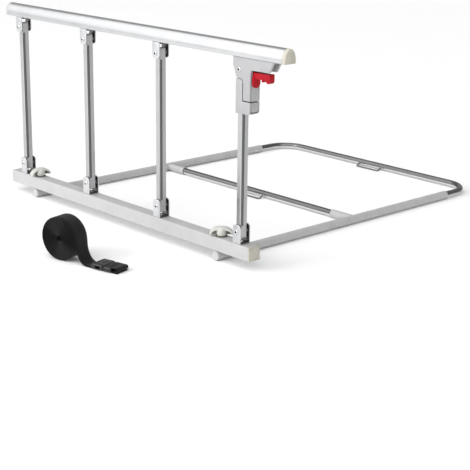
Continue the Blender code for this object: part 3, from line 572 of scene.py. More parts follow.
def metal(name, dark, light, rough, grain, marks, bump, shade=None):
    """Metal with lines or grain stretched by grain=(x, y, z), cloudy handling marks and scratches."""
    made, shader = start_material(name, 1.0)
    coordinates = object_coordinates(shader)
    lines = noise_at(coordinates, grain, 1.0, 4.0, 0.6)
    cloud = noise_at(coordinates, (1, 1, 1), 22.0)
    wide_grain = tuple(value * 0.22 for value in grain)
    scratch = noise_at(coordinates, wide_grain, 1.0, 2.0).ranged(0.66, 0.70, 0.0, marks)
    factor = lines * 0.55 + cloud * 0.45
    colour = two_colours(factor.ranged(0.35, 0.65, 0.0, 1.0), dark, light)
    finish_surface(shader, shaded(colour, coordinates, shade),
                   factor.ranged(0.32, 0.68, *rough) + scratch, lines - scratch, bump, 0.0002)
    return made


def moulded(name, dark, light, rough, grain_scale, bump, constants=None, metallic=0.0,
            speck=0.0, shade=None):
    """Plastic or paint: fine grain, cloudy tone, and small specks if asked for."""
    made, shader = start_material(name, metallic, constants)
    coordinates = object_coordinates(shader)
    grain = noise_at(coordinates, (1, 1, 1), grain_scale, 2.0)
    cloud = noise_at(coordinates, (1, 1, 1), 30.0, 4.0)
    rubbed = noise_at(coordinates, (1, 1, 1), 160.0, 3.0, 0.7)
    factor = grain * 0.35 + cloud * 0.65
    spread = factor.ranged(0.34, 0.64, 0.0, 1.0)
    if speck:
        spread = spread - rubbed.ranged(0.70, 0.74, 0.0, speck)
    colour = two_colours(spread, dark, light)
    finish_surface(shader, shaded(colour, coordinates, shade),
                   ((rubbed + factor) * 0.5).ranged(0.35, 0.65, *rough), grain, bump, 0.0003)
    return made


def woven(name, dark, light):
    """Ribbed webbing: two thread directions in the strap's own length and width coordinates."""
    made, shader = start_material(name, 0.0, {"Sheen Weight": 0.10, "Sheen Roughness": 0.45,
                                              "Specular IOR Level": 0.22})
    uv = add_node(shader.id_data, "UVMap", {"uv_map": "webbing"}).outputs[0]
    along, across = axes_of(uv)[:2]
    rib = along * (2 * pi / 0.0019)
    thread = across * (2 * pi / 0.0024)
    ribs = (rib + thread.by("SINE") * 1.15).by("SINE")
    weave = ribs * 0.30 + ribs * thread.by("COSINE") * 0.22
    fibre = noise_at(uv, (260.0, 2600.0, 1.0), 1.0, 3.0, 0.7)
    worn = noise_at(uv, (30.0, 60.0, 1.0), 1.0, 3.0)
    height = weave + 0.5 + fibre * 0.35
    tone = height * 0.55 + worn * 0.45
    colour = two_colours(tone.ranged(0.25, 0.95, 0.0, 1.0), dark, light)
    finish_surface(shader, colour, tone.ranged(0.3, 0.9, 0.86, 0.62), height, 0.55, 0.0004)
    return made


def make_materials():
    drawn = ((0.16, 0.16, 0.163), (0.20, 0.20, 0.203), (0.12, 0.18))
    # Thin tubes keep the dark drawn tone on top and get a painted floor reflection, pale grey, on the
    # underside.
    underside = (painted_tube_reflection, (0.72, 0.72, 0.72))
    steel = ((0.62, 0.62, 0.63), (0.78, 0.78, 0.79), (0.10, 0.20), (700.0, 700.0, 700.0), 0.08, 0.05)
    grained = ((0.46, 0.62), 1500.0, 0.30, {"Specular IOR Level": 0.4}, 0.0, 0.45)
    return {
        "handrail": metal("brushed_handrail", (0.575, 0.58, 0.587), (0.665, 0.67, 0.677),
                          (0.17, 0.24), (6.0, 900.0, 900.0), 0.04, 0.03),
        # Posts: painted shade on the groove floors and, fainter, on the flat sides.
        "post": metal("brushed_post", (0.48, 0.483, 0.488), (0.55, 0.553, 0.558), (0.24, 0.34),
                      (900.0, 900.0, 7.0), 0.05, 0.05, (painted_groove_and_side_shade, (0.15, 0.15, 0.152))),
        "tube_x": metal("drawn_tube_x", *drawn, (12.0, 500.0, 500.0), 0.03, 0.02, underside),
        "tube": metal("drawn_tube", *drawn, (120.0, 120.0, 500.0), 0.03, 0.02, underside),
        # Brackets: painted shade, near black, on everything between the ears.
        "bracket": metal("zinc_bracket", (0.60, 0.605, 0.612), (0.72, 0.725, 0.732), (0.26, 0.42),
                         (420.0, 420.0, 420.0), 0.10, 0.08, (painted_bracket_shade, (0.14, 0.14, 0.142))),
        "bright": metal("bright_steel", *steel),
        # Rivets: painted shade, near black, in the hollow end.
        "rivet": metal("hollow_rivet", *steel, (painted_rivet_hole_shade, (0.02, 0.02, 0.021))),
        "rail": moulded("powder_coat_rail", (0.44, 0.44, 0.44), (0.49, 0.486, 0.49), (0.38, 0.52),
                        1500.0, 0.08, {"Coat Weight": 0.08, "Coat Roughness": 0.35}, 0.0, 0.25),
        "frame": moulded("powder_coat_frame", (0.42, 0.42, 0.422), (0.47, 0.47, 0.472),
                         (0.24, 0.34), 1700.0, 0.08, None, 0.0, 0.30),
        # Latch castings: painted shade, near black, inside the seams and edge lines.
        "cast": moulded("cast_silver", (0.385, 0.385, 0.392), (0.445, 0.445, 0.452), (0.34, 0.50),
                        2600.0, 0.12, None, 0.30, 0.20, (painted_seam_shade, (0.05, 0.05, 0.052))),
        "ivory": moulded("ivory_grained", (0.36, 0.342, 0.288), (0.53, 0.508, 0.44), *grained),
        "pale_ivory": moulded("pale_ivory_grained", (0.42, 0.402, 0.342), (0.62, 0.598, 0.52),
                              *grained),
        # Knobs: painted shade, dark olive, in the pockets under the wings.
        "knob": moulded("knob_plastic", (0.54, 0.545, 0.508), (0.62, 0.62, 0.582), (0.34, 0.48),
                        2200.0, 0.12, {"Specular IOR Level": 0.45}, 0.0, 0.15,
                        (painted_wing_pocket_shade, (0.16, 0.15, 0.11))),
        "white": moulded("white_plastic", (0.44, 0.44, 0.435), (0.52, 0.52, 0.515),
                         (0.38, 0.52), 2200.0, 0.12),
        "grey": moulded("grey_plastic", (0.34, 0.34, 0.348), (0.42, 0.42, 0.428),
                        (0.42, 0.56), 2200.0, 0.15),
        "red": moulded("lever_red", (0.34, 0.002, 0.008), (0.44, 0.004, 0.015),
                       (0.34, 0.46), 2400.0, 0.10, {"Specular IOR Level": 0.18}),
        "rubber": moulded("washer_rubber", (0.09, 0.088, 0.07), (0.14, 0.137, 0.11),
                          (0.62, 0.80), 1800.0, 0.20),
        "buckle": moulded("buckle_black", (0.004, 0.004, 0.0045), (0.010, 0.010, 0.011),
                          (0.08, 0.18), 2400.0, 0.08, {"Specular IOR Level": 0.55}),
        "webbing": woven("strap_webbing", (0.0020, 0.0020, 0.0022), (0.013, 0.013, 0.014)),
    }


LOOKS = make_materials()


# ---------------------------------------------------------------- base rail

def base_rail_mesh():
    low, high = node_box("base_rail")
    centre = (0.0, RAIL_HEIGHT / 2)
    outer = rounded_rectangle(RAIL_DEPTH, RAIL_HEIGHT, RAIL_CORNER, 8, centre)
    inner = rounded_rectangle(RAIL_DEPTH - 2 * RAIL_WALL, RAIL_HEIGHT - 2 * RAIL_WALL,
                              RAIL_CORNER - RAIL_WALL / 2, 8, centre)
    rail = hollow_prism(outer, inner, "X", low.x, high.x)
    studs = [cylinder("Z", side * SIDE_TUBE_X, 0.0, STUD_RADIUS + GAP, -RAIL_WALL,
                      RAIL_TOP + RAIL_WALL, 32) for side in (-1, 1)]
    screws = [cylinder("Z", place.x, 0.0, SCREW_RADIUS, RAIL_TOP - 2 * RAIL_WALL,
                       RAIL_TOP + RAIL_WALL, 24) for place in LOWER_PIVOTS]
    return cut(rail, *studs, *screws)


def base_cap_mesh(name, side):
    low, high = node_box(name)
    end = high.x if side > 0 else low.x
    inside = end - side * 0.0030
    centre = (0.0, RAIL_HEIGHT / 2)
    flange = prism(rounded_rectangle(RAIL_DEPTH, RAIL_HEIGHT, RAIL_CORNER, 6, centre),
                   "X", end, inside)
    bevel_sharp(flange, 0.0011, 4, lambda point: abs(point.x - end) < GAP)
    slack = 2 * (RAIL_WALL + GAP)
    plug = prism(rounded_rectangle(RAIL_DEPTH - slack, RAIL_HEIGHT - slack, 0.001, 3, centre),
                 "X", inside - side * CAP_PLUG, inside + side * 0.0015)
    return fuse(flange, plug)


# ---------------------------------------------------------------- hinges and posts

def ear_outline(low, high, rounded_high):
    half = BRACKET_WIDTH / 2
    u = half - EAR_CORNER
    if rounded_high:
        v = high - EAR_CORNER
        return ([(-half, low), (half, low)] + arc(u, v, EAR_CORNER, 0, 90, 12)
                + arc(-u, v, EAR_CORNER, 90, 180, 12))
    v = low + EAR_CORNER
    return ([(half, high), (-half, high)] + arc(-u, v, EAR_CORNER, 180, 270, 12)
            + arc(u, v, EAR_CORNER, 270, 360, 12))


def bracket_mesh(plate_outer, plate_inner, ear_end):
    """Pressed U bracket about its pivot, with bends where the ears leave the plate."""
    rounded_high = ear_end > plate_outer
    low = min(plate_outer, ear_end)
    high = max(plate_outer, ear_end)
    half = BRACKET_DEPTH / 2
    body = prism(ear_outline(low, high, rounded_high), "Y", -half, half)
    bevel_sharp(body, 0.0016, 4, lambda point: abs(point.z - plate_outer) < 1e-5)
    inner = half - EAR_THICKNESS
    reach = BRACKET_WIDTH
    if rounded_high:
        slot = box((-reach, -inner, plate_inner), (reach, inner, high + reach))
    else:
        slot = box((-reach, -inner, low - reach), (reach, inner, plate_inner))
    bevel_sharp(slot, 0.0008, 3, lambda point: abs(point.z - plate_inner) < 1e-5)
    hole = cylinder("Y", 0.0, 0.0, RIVET_RADIUS + GAP, -2 * half, 2 * half, 28)
    body = cut(body, slot, hole)
    return bevel_sharp(body, 0.00035, 2, lambda point: abs(point.x) > BRACKET_WIDTH / 2 - 1e-5
                       or abs(point.z - plate_inner) > 0.004)


def lower_bracket_mesh():
    plate_bottom = -PIVOT_RISE + GAP
    plate_top = plate_bottom + BRACKET_PLATE
    body = bracket_mesh(plate_bottom, plate_top, LOWER_EAR_TOP)
    return cut(body, cylinder("Z", 0.0, 0.0, SCREW_RADIUS, plate_bottom - 0.001, plate_top + 0.001, 24))


def upper_bracket_mesh():
    plate_top = PIVOT_DROP - GAP
    plate_bottom = plate_top - BRACKET_PLATE
    body = bracket_mesh(plate_top, plate_bottom, -UPPER_EAR_END)
    dome = [(0.0, plate_bottom + 0.001), (0.0042, plate_bottom + 0.001)]
    dome += [(0.0042 * cos(a), plate_bottom - 0.0008 - 0.0020 * sin(a))
             for a in (radians(step * 15) for step in range(6))]
    return fuse(body, lathe(dome + [(0.0, plate_bottom - 0.0028)], "Z", 28))


def rivet_mesh(half_grip):
    """Round-headed tubular rivet with a rolled lip round its open end."""
    seat = half_grip + GAP
    head = [(RIVET_RADIUS, seat), (RIVET_HEAD_RADIUS, seat)]
    for step in range(1, 8):
        angle = radians(step * 90 / 7)
        head.append((0.0023 + (RIVET_HEAD_RADIUS - 0.0023) * cos(angle),
                     seat + RIVET_HEAD_RISE * sin(angle)))
    head += [(0.0019, seat + RIVET_HEAD_RISE - 0.0004), (0.0017, seat + 0.0003),
             (0.0, seat)]
    mirrored = [(radius, -along) for radius, along in reversed(head)]
    return lathe(mirrored + head, "Y", 32)


def post_mesh(top_hole):
    outer = rounded_rectangle(POST_WIDTH, POST_DEPTH, POST_CORNER, 8, crown=POST_CROWN)
    inner = rounded_rectangle(POST_WIDTH - 2 * POST_WALL, POST_DEPTH - 2 * POST_WALL,
                              POST_CORNER - POST_WALL, 8, crown=POST_CROWN)
    body = hollow_prism(outer, inner, "Z", -POST_END, LINK_LENGTH + POST_TOP)
    low_hole = cylinder("Y", 0.0, 0.0, BOSS_RADIUS + GAP, -POST_DEPTH, POST_DEPTH, 32)
    high_hole = cylinder("Y", 0.0, LINK_LENGTH, top_hole, -POST_DEPTH, POST_DEPTH, 32)
    grooves = []
    for side in (-1, 1):
        near, far = sorted((side * (POST_WIDTH / 2 - POST_GROOVE_DEPTH), side * POST_WIDTH))
        grooves.append(box((near, POST_GROOVE[0], POST_GROOVE_START),
                           (far, POST_GROOVE[1], LINK_LENGTH - POST_GROOVE_START)))
    return cut(body, low_hole, high_hole, *grooves)


def post_plug_mesh(outward, tube_end):
    slack = 2 * (POST_WALL + GAP) + 0.0006
    shank = prism(rounded_rectangle(POST_WIDTH - slack, POST_DEPTH - slack, 0.0014, 3),
                  "Z", -outward * 0.020, outward * (tube_end + END_FLANGE / 2))
    flange_near = outward * (tube_end + GAP)
    flange_far = outward * (tube_end + GAP + END_FLANGE)
    flange = prism(rounded_rectangle(POST_WIDTH, POST_DEPTH, POST_CORNER, 8, crown=POST_CROWN),
                   "Z", flange_near, flange_far)
    bevel_sharp(flange, 0.0008, 3, lambda point: abs(point.z - flange_far) < GAP / 2)
    boss_reach = BRACKET_DEPTH / 2 - EAR_THICKNESS - GAP
    boss = cylinder("Y", 0.0, 0.0, BOSS_RADIUS, -boss_reach, boss_reach, 32)
    bevel_sharp(boss, 0.0004, 2)
    hole = cylinder("Y", 0.0, 0.0, RIVET_RADIUS + GAP, -POST_DEPTH, POST_DEPTH, 28)
    return cut(fuse(shank, flange, boss), hole)


# ---------------------------------------------------------------- handrail

def handrail_outline(inset):
    half = HANDRAIL_WIDTH / 2 - inset
    base = HANDRAIL_BASE + inset
    shoulder = HANDRAIL_BASE + HANDRAIL_SHOULDER
    rise = HANDRAIL_BASE + HANDRAIL_HEIGHT - inset - shoulder
    corner = 0.0022 - inset / 2
    points = arc(half - corner, base + corner, corner, -90, 0, 6)
    for step in range(49):
        angle = pi * step / 48
        points.append((half * cos(angle), shoulder + rise * sin(angle)))
    points += arc(-half + corner, base + corner, corner, 180, 270, 6)
    return points


def handrail_mesh():
    low, high = node_box("handrail")
    return hollow_prism(handrail_outline(0.0), handrail_outline(HANDRAIL_WALL), "X", low.x, high.x)


def handrail_cap_mesh(name, side):
    """End cap with a rounded rim, a low dome and a plug in the extrusion."""
    low, high = node_box(name)
    end = high.x if side > 0 else low.x
    start = end - side * HANDRAIL_CAP
    flange = prism(handrail_outline(0.0), "X", start, end)
    bevel_sharp(flange, 0.0032, 5, lambda point: abs(point.x - end) < GAP)
    plug = prism(handrail_outline(HANDRAIL_WALL + GAP), "X",
                 start - side * CAP_PLUG, start + side * HANDRAIL_CAP / 2)
    return fuse(flange, plug)


# ---------------------------------------------------------------- latch, about the last upper pivot

def latch_housing_mesh():
    top = PIVOT_DROP - GAP
    outline = [(-0.0185, top), (-0.0185, 0.008)]
    outline += arc(0.0, 0.0, COLLAR_SWEEP, -124.6, -89, 10)
    outline += arc(0.0015, -0.0268, 0.0092, 90, 8, 14)
    outline += [(ARM_LEFT, ARM_BOTTOM), (ARM_RIGHT, ARM_BOTTOM), (ARM_RIGHT, 0.0012),
                (0.0835, 0.0028), (0.0950, top)]
    body = prism(outline, "Y", -LATCH_HALF_DEPTH, LATCH_HALF_DEPTH)
    bevel_sharp(body, 0.0011, 4)
    ceiling = top - 0.0030
    cheek = POST_DEPTH / 2 + 0.0005
    post_bay = box((-0.030, -cheek, -0.030), (0.0136, cheek, ceiling))
    channel_half = LEVER_HALF_DEPTH + 0.0005
    channel = box((0.0152, -channel_half, -0.0142), (0.110, channel_half, ceiling))
    bevel_sharp(channel, 0.0012, 3, lambda point: point.z > ceiling - 1e-5)
    bore = cylinder("Z", BOLT_X, 0.0, BOLT_RADIUS + GAP, ARM_BOTTOM - 0.01, -0.010, 32)
    hole = cylinder("Y", 0.0, 0.0, RIVET_RADIUS + GAP, -0.02, 0.02, 32)
    arm_side = box((-0.030, -0.02, -0.070), (ARM_LEFT + SEAM / 3, 0.02, -0.0262))
    lines = [box((ARM_RIGHT - SEAM, side * 0.0113 - SEAM / 2, ARM_BOTTOM - 0.01),
                 (ARM_RIGHT + 0.01, side * 0.0113 + SEAM / 2, LATCH_LINE_TOP)) for side in (-1, 1)]
    return cut(body, post_bay, channel, bore, hole, arm_side, *lines)


def latch_collar_mesh():
    seat = ARM_BOTTOM - SEAM
    outline = [(ARM_LEFT - SEAM * 0.67, seat), (ARM_LEFT - SEAM * 0.67, -0.0272)]
    outline += arc(0.0015, -0.0268, ARM_LEFT - SEAM * 0.67 - 0.0015, 2, 90, 14)
    outline += [(-0.0100, -0.0184), (-0.0100, COLLAR_BOTTOM), (0.0240, COLLAR_BOTTOM)]
    outline += arc(0.0243, COLLAR_BOTTOM + 0.0090, 0.0090, -70, 0, 10)
    outline += [(ARM_RIGHT + GAP, seat)]
    body = prism(outline, "Y", -LATCH_HALF_DEPTH, LATCH_HALF_DEPTH)
    bevel_sharp(body, 0.0010, 4)
    fit = 2 * GAP
    bore = prism(rounded_rectangle(POST_WIDTH + fit, POST_DEPTH + fit, POST_CORNER + GAP, 6,
                                   crown=POST_CROWN), "Z", COLLAR_BOTTOM - 0.01, 0.0)
    half = BOLT_RADIUS + 0.0006
    pocket = cylinder("Z", BOLT_X, 0.0, half, BOLT_TIP - 0.001, seat + 0.01, 32)
    frames = [rounded_rectangle(width, 0.0440, 0.0050, 8, (0.0, COLLAR_BOTTOM + low + 0.0220))
              for width, low in ((0.0226 + SEAM, 0.0048 - SEAM / 2), (0.0226 - SEAM, 0.0048 + SEAM / 2))]
    line = hollow_prism(frames[0], frames[1], "X", ARM_RIGHT - SEAM, ARM_RIGHT + 0.01)
    return cut(body, bore, pocket, line)


def latch_spring_mesh():
    """Open coil above the bolt's shoulder."""
    low, high = node_box("latch_spring")
    centre = (low + high) / 2
    radius = (high.x - low.x) / 2 - SPRING_WIRE_RADIUS
    rise = high.z - low.z - 2 * SPRING_WIRE_RADIUS
    steps = SPRING_TURNS * 20
    path = []
    for step in range(steps + 1):
        angle = 2 * pi * SPRING_TURNS * step / steps
        path.append(Vector((centre.x + radius * cos(angle), centre.y + radius * sin(angle),
                            low.z + SPRING_WIRE_RADIUS + rise * step / steps)))
    return swept_rod(path, SPRING_WIRE_RADIUS, 10)


def release_lever_mesh():
    half = LEVER_HALF_DEPTH
    leg_left = ARM_RIGHT + 0.0005
    leg_right = leg_left + LEG_THICKNESS
    wide = LEG_HALF_DEPTH
    leg_outline = [(half, -0.0022), (-half, -0.0022), (-half, -0.0088), (-wide, -0.0116)]
    leg_outline += arc(0.0, -0.0240, wide, 180, 360, 24)
    leg_outline += [(wide, -0.0116), (half, -0.0088)]
    leg = prism(leg_outline, "X", leg_left, leg_right)
    bevel_sharp(leg, 0.0013, 4, lambda point: point.x > leg_right - GAP)
    arm_outline = [(leg_left, -0.0022), (leg_left, -0.0148), (0.0570, -0.0148)]
    arm_outline += arc(0.0592, -0.0168, 0.0022, 180, 360, 12)
    arm_outline += [(0.0614, -0.0148), (0.0665, -0.0148)]
    arm_outline += arc(0.0745, -0.0146, 0.0056, 215, 330, 12)
    arm_outline += [(0.0802, -0.0150), (0.0802, -0.0016)]
    arm = prism(arm_outline, "Y", -half, half)
    bevel_sharp(arm, 0.0014, 4)
    tongue = box((0.0156, -0.0062, -0.0132), (leg_left + 0.002, 0.0062, -0.0092))
    hole = cylinder("Z", BOLT_X, 0.0, BOLT_RADIUS + GAP, -0.02, 0.0, 28)
    return fuse(leg, arm, cut(tongue, hole))


# ---------------------------------------------------------------- clamping knobs

def knob_mesh():
    """Wing knob: domed hub with a flared foot and two arched wings, ribbed below."""
    profile = [(0.0, 0.0), (0.0092, 0.0), (0.0097, 0.0002), (0.0099, 0.0007), (0.0108, 0.0100),
               (0.0107, 0.0118), (0.0102, 0.0138), (0.0092, 0.0157), (0.0077, 0.0172),
               (0.0057, 0.0183), (0.0033, 0.0188), (0.0, KNOB_RISE)]
    hub = lathe(profile, "Z", 40)
    reach = KNOB_SPAN / 2
    top = smooth_path([(0.0060, 0.0179), (0.0100, 0.0171), (0.0140, 0.0158), (0.0190, 0.0129),
                       (0.0228, 0.0092), (reach, 0.0052)], 0.0008)
    under = smooth_path([(0.0214, 0.0020), (0.0202, 0.0056), (0.0176, 0.0086), (0.0140, 0.0106),
                         (0.0100, 0.0114), (0.0060, 0.0116)], 0.0008)
    half_arch = [tuple(point) for point in top] + [(reach, 0.0020), (0.0060, 0.0020)]
    outline = half_arch + [(-x, z) for x, z in reversed(half_arch)]
    wings = prism(outline, "Y", -KNOB_WING_HALF, KNOB_WING_HALF)
    bevel_sharp(wings, 0.0016, 4)
    pocket = [tuple(point) for point in under] + [(0.0060, 0.0), (0.0214, 0.0)]
    pockets = []
    for side in (-1, 1):
        for near, far in ((0.0010, 0.02), (-0.02, -0.0010)):
            pockets.append(prism([(side * x, z) for x, z in pocket], "Y", near, far))
    hole = cylinder("Z", 0.0, 0.0, STUD_RADIUS + GAP, -0.01, 0.0120, 28)
    return cut(fuse(cut(wings, *pockets), hub), hole)


def knob_washer_mesh():
    body = hollow_prism(circle(0, 0, 0.0125, 48), circle(0, 0, STUD_RADIUS + GAP, 48), "Z",
                        0.0, 0.002)
    return bevel_sharp(body, 0.0004, 2)


# ---------------------------------------------------------------- under-mattress frame

def side_tube_mesh(side):
    """Side tube with eased ends, and its welded stub with the weld bead round it."""
    x = side * SIDE_TUBE_X
    ease = 0.0005
    rings = [(SIDE_TUBE_BORE, 0.0), (SIDE_TUBE_RADIUS - ease, 0.0), (SIDE_TUBE_RADIUS, ease)]
    length = SIDE_TUBE_REAR - SIDE_TUBE_FRONT
    rings += [(radius, length - along) for radius, along in reversed(rings)]
    body = ring_solid(rings, "Y", 48)
    bmesh.ops.translate(body, verts=body.verts, vec=(x, SIDE_TUBE_FRONT, TUBE_Z))
    start = x - side * 0.0070
    stub_end = side * STUB_END_X
    stub = cylinder("X", CROSSBAR_Y, TUBE_Z, STUB_RADIUS, start, stub_end, 40)
    bead = weld_bead(side, x)
    stub_bore = cylinder("X", CROSSBAR_Y, TUBE_Z, SIDE_TUBE_BORE, x, stub_end - side * 0.01, 40)
    core = cylinder("Y", x, TUBE_Z, SIDE_TUBE_BORE, SIDE_TUBE_FRONT - 0.01, SIDE_TUBE_REAR + 0.01, 48)
    stud_hole = cylinder("Z", x, 0.0, STUD_RADIUS + GAP, TUBE_Z, 0.005, 28)
    button_hole = cylinder("X", BUTTON_Y, TUBE_Z, BUTTON_RADIUS + GAP,
                           x, x - side * 0.02, 28)
    return cut(fuse(body, stub, bead), core, stub_bore, stud_hole, button_hole)


def weld_bead(side, x):
    """Uneven bead where the stub meets the side tube's round wall."""
    mesh = bmesh.new()
    around, across = 72, 8
    rings = []
    for index in range(around):
        angle = 2 * pi * index / around
        y = (STUB_RADIUS + 0.0004) * cos(angle)
        z = (STUB_RADIUS + 0.0004) * sin(angle)
        z_on_tube = max(-0.0094, min(0.0094, z))
        wall = sqrt(max(SIDE_TUBE_RADIUS ** 2 - z_on_tube ** 2, 1e-8))
        size = 0.0011 * (1.0 + 0.22 * sin(9 * angle) + 0.12 * sin(17 * angle + 1.0))
        ring = []
        for step in range(across):
            turn = 2 * pi * step / across
            out = size * cos(turn)
            ring.append(mesh.verts.new((x - side * (wall + size * sin(turn)),
                                        CROSSBAR_Y + y * (1 + out / STUB_RADIUS),
                                        TUBE_Z + z_on_tube * (1 + 0.4 * out / STUB_RADIUS))))
        rings.append(ring)
    join_rings(mesh, rings, closed=True)
    return close_mesh(mesh)


def tube_plug_mesh():
    radius = SIDE_TUBE_RADIUS
    shank = SIDE_TUBE_BORE - GAP
    profile = [(0.0, -GAP - 0.0026), (radius - 0.0022, -GAP - 0.0026), (radius - 0.0010, -GAP - 0.0023),
               (radius - 0.0003, -GAP - 0.0016), (radius, -GAP - 0.0008), (radius, -GAP),
               (shank, -GAP), (shank, 0.0084), (0.0, 0.0084)]
    return lathe(profile, "Y", 40)


def strap_loop_mesh(bar_y):
    half = LOOP_LENGTH / 2
    root = (THIN_TUBE_RADIUS + THIN_TUBE_BORE) / 2
    bend = 0.006
    low = FLOOR_Z + LOOP_WIRE_RADIUS + 0.0006
    start = Vector((-half, bar_y - root * 0.93, TUBE_Z - root * 0.36))
    corner = Vector((-half, bar_y - LOOP_REACH, low))
    path = [start, start.lerp(corner, 1 - 2 * bend / LOOP_REACH)]
    for step in range(10):
        angle = radians(180 + 10 * step)
        path.append(Vector((-half + bend + bend * cos(angle),
                            bar_y - LOOP_REACH + bend + bend * sin(angle), low)))
    mirrored = [Vector((-point.x, point.y, point.z)) for point in reversed(path)]
    return swept_rod(path + mirrored, LOOP_WIRE_RADIUS, 16)


def loop_welds(bar_y):
    """Small weld blobs at the feet of a strap loop."""
    blobs = []
    for side in (-1, 1):
        profile = [(0.0, -0.0030), (0.0016, -0.0026), (0.0026, -0.0013), (0.0030, 0.0),
                   (0.0026, 0.0013), (0.0016, 0.0026), (0.0, 0.0030)]
        blob = lathe(profile, "X", 18)
        bmesh.ops.translate(blob, verts=blob.verts,
                            vec=(side * LOOP_LENGTH / 2, bar_y - 0.0072, TUBE_Z - 0.0028))
        blobs.append(blob)
    return blobs


def crossbar_mesh():
    low, high = node_box("crossbar")
    bar = hollow_prism(circle(CROSSBAR_Y, TUBE_Z, THIN_TUBE_RADIUS, 40),
                       circle(CROSSBAR_Y, TUBE_Z, THIN_TUBE_BORE, 40), "X", low.x, high.x)
    return fuse(bar, strap_loop_mesh(CROSSBAR_Y), *loop_welds(CROSSBAR_Y))


def end_bow_mesh():
    front = node_box("end_bow")[0].y
    turn_x = SIDE_TUBE_X - BOW_CORNER
    turn_y = BOW_Y - BOW_CORNER
    path = [(SIDE_TUBE_X, front)] + arc(turn_x, turn_y, BOW_CORNER, 0, 90, 20)
    path += arc(-turn_x, turn_y, BOW_CORNER, 90, 180, 20) + [(-SIDE_TUBE_X, front)]
    points = [Vector((x, y, TUBE_Z)) for x, y in path]
    bow = swept_tube(points, THIN_TUBE_RADIUS, THIN_TUBE_BORE, 36)
    holes = [cylinder("X", BUTTON_Y, TUBE_Z, BUTTON_RADIUS + GAP,
                      side * SIDE_TUBE_X, side * (SIDE_TUBE_X - 0.012), 24)
             for side in (-1, 1)]
    return cut(fuse(bow, strap_loop_mesh(BOW_Y), *loop_welds(BOW_Y)), *holes)


def snap_button_mesh(side):
    inward = -side
    proud = SIDE_TUBE_RADIUS + 0.0015
    profile = [(0.0, 0.0042), (0.0040, 0.0042), (0.0040, 0.0052), (BUTTON_RADIUS, 0.0052),
               (BUTTON_RADIUS, proud - 0.0014), (BUTTON_RADIUS - 0.0004, proud - 0.0006),
               (BUTTON_RADIUS - 0.0013, proud - 0.0001), (0.0, proud)]
    return lathe([(radius, inward * along) for radius, along in profile], "X", 28)


# ---------------------------------------------------------------- strap, about the roll's place

def webbing_band(path, offsets, thickness, width, name):
    """Woven band with rounded edges along (x, z) points, with length and width coordinates."""
    section = []
    flat = width / 2 - 0.0009
    for out in (-0.5, 0.5):
        section += [(-2 * out * share * flat, out * thickness) for share in (-1, -0.5, 0.0, 0.5, 1)]
        section.append((-out * width, 0.0))
    mesh = bmesh.new()
    layer = mesh.loops.layers.uv.new("webbing")
    rings = []
    lengths = [0.0]
    for index, point in enumerate(path):
        before = path[max(index - 1, 0)]
        after = path[min(index + 1, len(path) - 1)]
        tangent = (after - before).normalized()
        normal = Vector((-tangent.y, tangent.x))
        ring = []
        for across, out in section:
            place = point + normal * out
            ring.append(mesh.verts.new((place.x, across + offsets[index], place.y)))
        rings.append(ring)
        if index:
            lengths.append(lengths[-1] + (point - path[index - 1]).length)
    count = len(section)
    for index in range(len(rings) - 1):
        for step in range(count):
            following = (step + 1) % count
            face = mesh.faces.new((rings[index][step], rings[index][following],
                                   rings[index + 1][following], rings[index + 1][step]))
            across = (section[step][0], section[following][0])
            places = [(lengths[index], across[0]), (lengths[index], across[1]),
                      (lengths[index + 1], across[1]), (lengths[index + 1], across[0])]
            for loop, place in zip(face.loops, places):
                loop[layer].uv = place
    mesh.faces.new(rings[0][::-1])
    mesh.faces.new(rings[-1])
    return mesh_data(name, close_mesh(mesh), 60)


def strap_roll_path():
    """Turns of the roll from its core outwards, then the tail down its side and along the floor."""
    outer = ROLL_RADIUS - 0.0002
    turns = (outer - ROLL_CORE) / ROLL_PITCH
    steps = int(turns * 44)
    centre_z = ROLL_RADIUS + GAP
    points = []
    for step in range(steps + 1):
        left = turns * (1 - step / steps)
        angle = 2 * pi * left
        slack = 0.00022 * sin(3 * angle + 0.7 * left) * min(1.0, left)
        radius = outer - ROLL_PITCH * left + slack
        points.append(Vector((radius * cos(angle), centre_z + radius * sin(angle))))
    middle = 0.0009
    tail = [(outer + 0.0002, centre_z), (outer + 0.0004, 0.040), (outer + 0.0016, 0.0290),
            (outer + 0.0052, 0.0180), (outer + 0.0118, 0.0082), (outer + 0.0205, 0.0024),
            (outer + 0.0290, middle), (0.090, middle), (0.112, middle), (0.134, middle), (0.156, middle)]
    return points + smooth_path(tail, 0.0018)[1:]


def strap_webbing():
    path = strap_roll_path()
    offsets = []
    travelled = 0.0
    for index, point in enumerate(path):
        if index:
            travelled += (point - path[index - 1]).length
        offsets.append(0.0007 * noise.noise(Vector((travelled * 9.0, 3.1, 0.0))))
    return webbing_band(path, offsets, WEBBING_THICKNESS, WEBBING_WIDTH - 0.0012, "strap_turns")


def strap_end_band():
    radius = (BUCKLE_RISE - 0.0016) / 2
    low = BUCKLE_BASE + 0.0008
    bend_x = 0.150
    path = [(0.141, low), (0.144, low), (0.147, low)]
    path += arc(bend_x, low + radius, radius, -90, 90, 12)
    path += [(0.147, low + 2 * radius), (0.144, low + 2 * radius), (0.141, low + 2 * radius)]
    points = [Vector(point) for point in path]
    return webbing_band(points, [0.0] * len(points), WEBBING_THICKNESS, WEBBING_WIDTH - 0.0006,
                        "strap_end")


def soft_plan(low, high, half_width, radius):
    """Plan outline of a buckle half: a rounded rectangle from low to high along the strap."""
    return rounded_rectangle(high - low, 2 * half_width, radius, 8, ((low + high) / 2, 0.0))


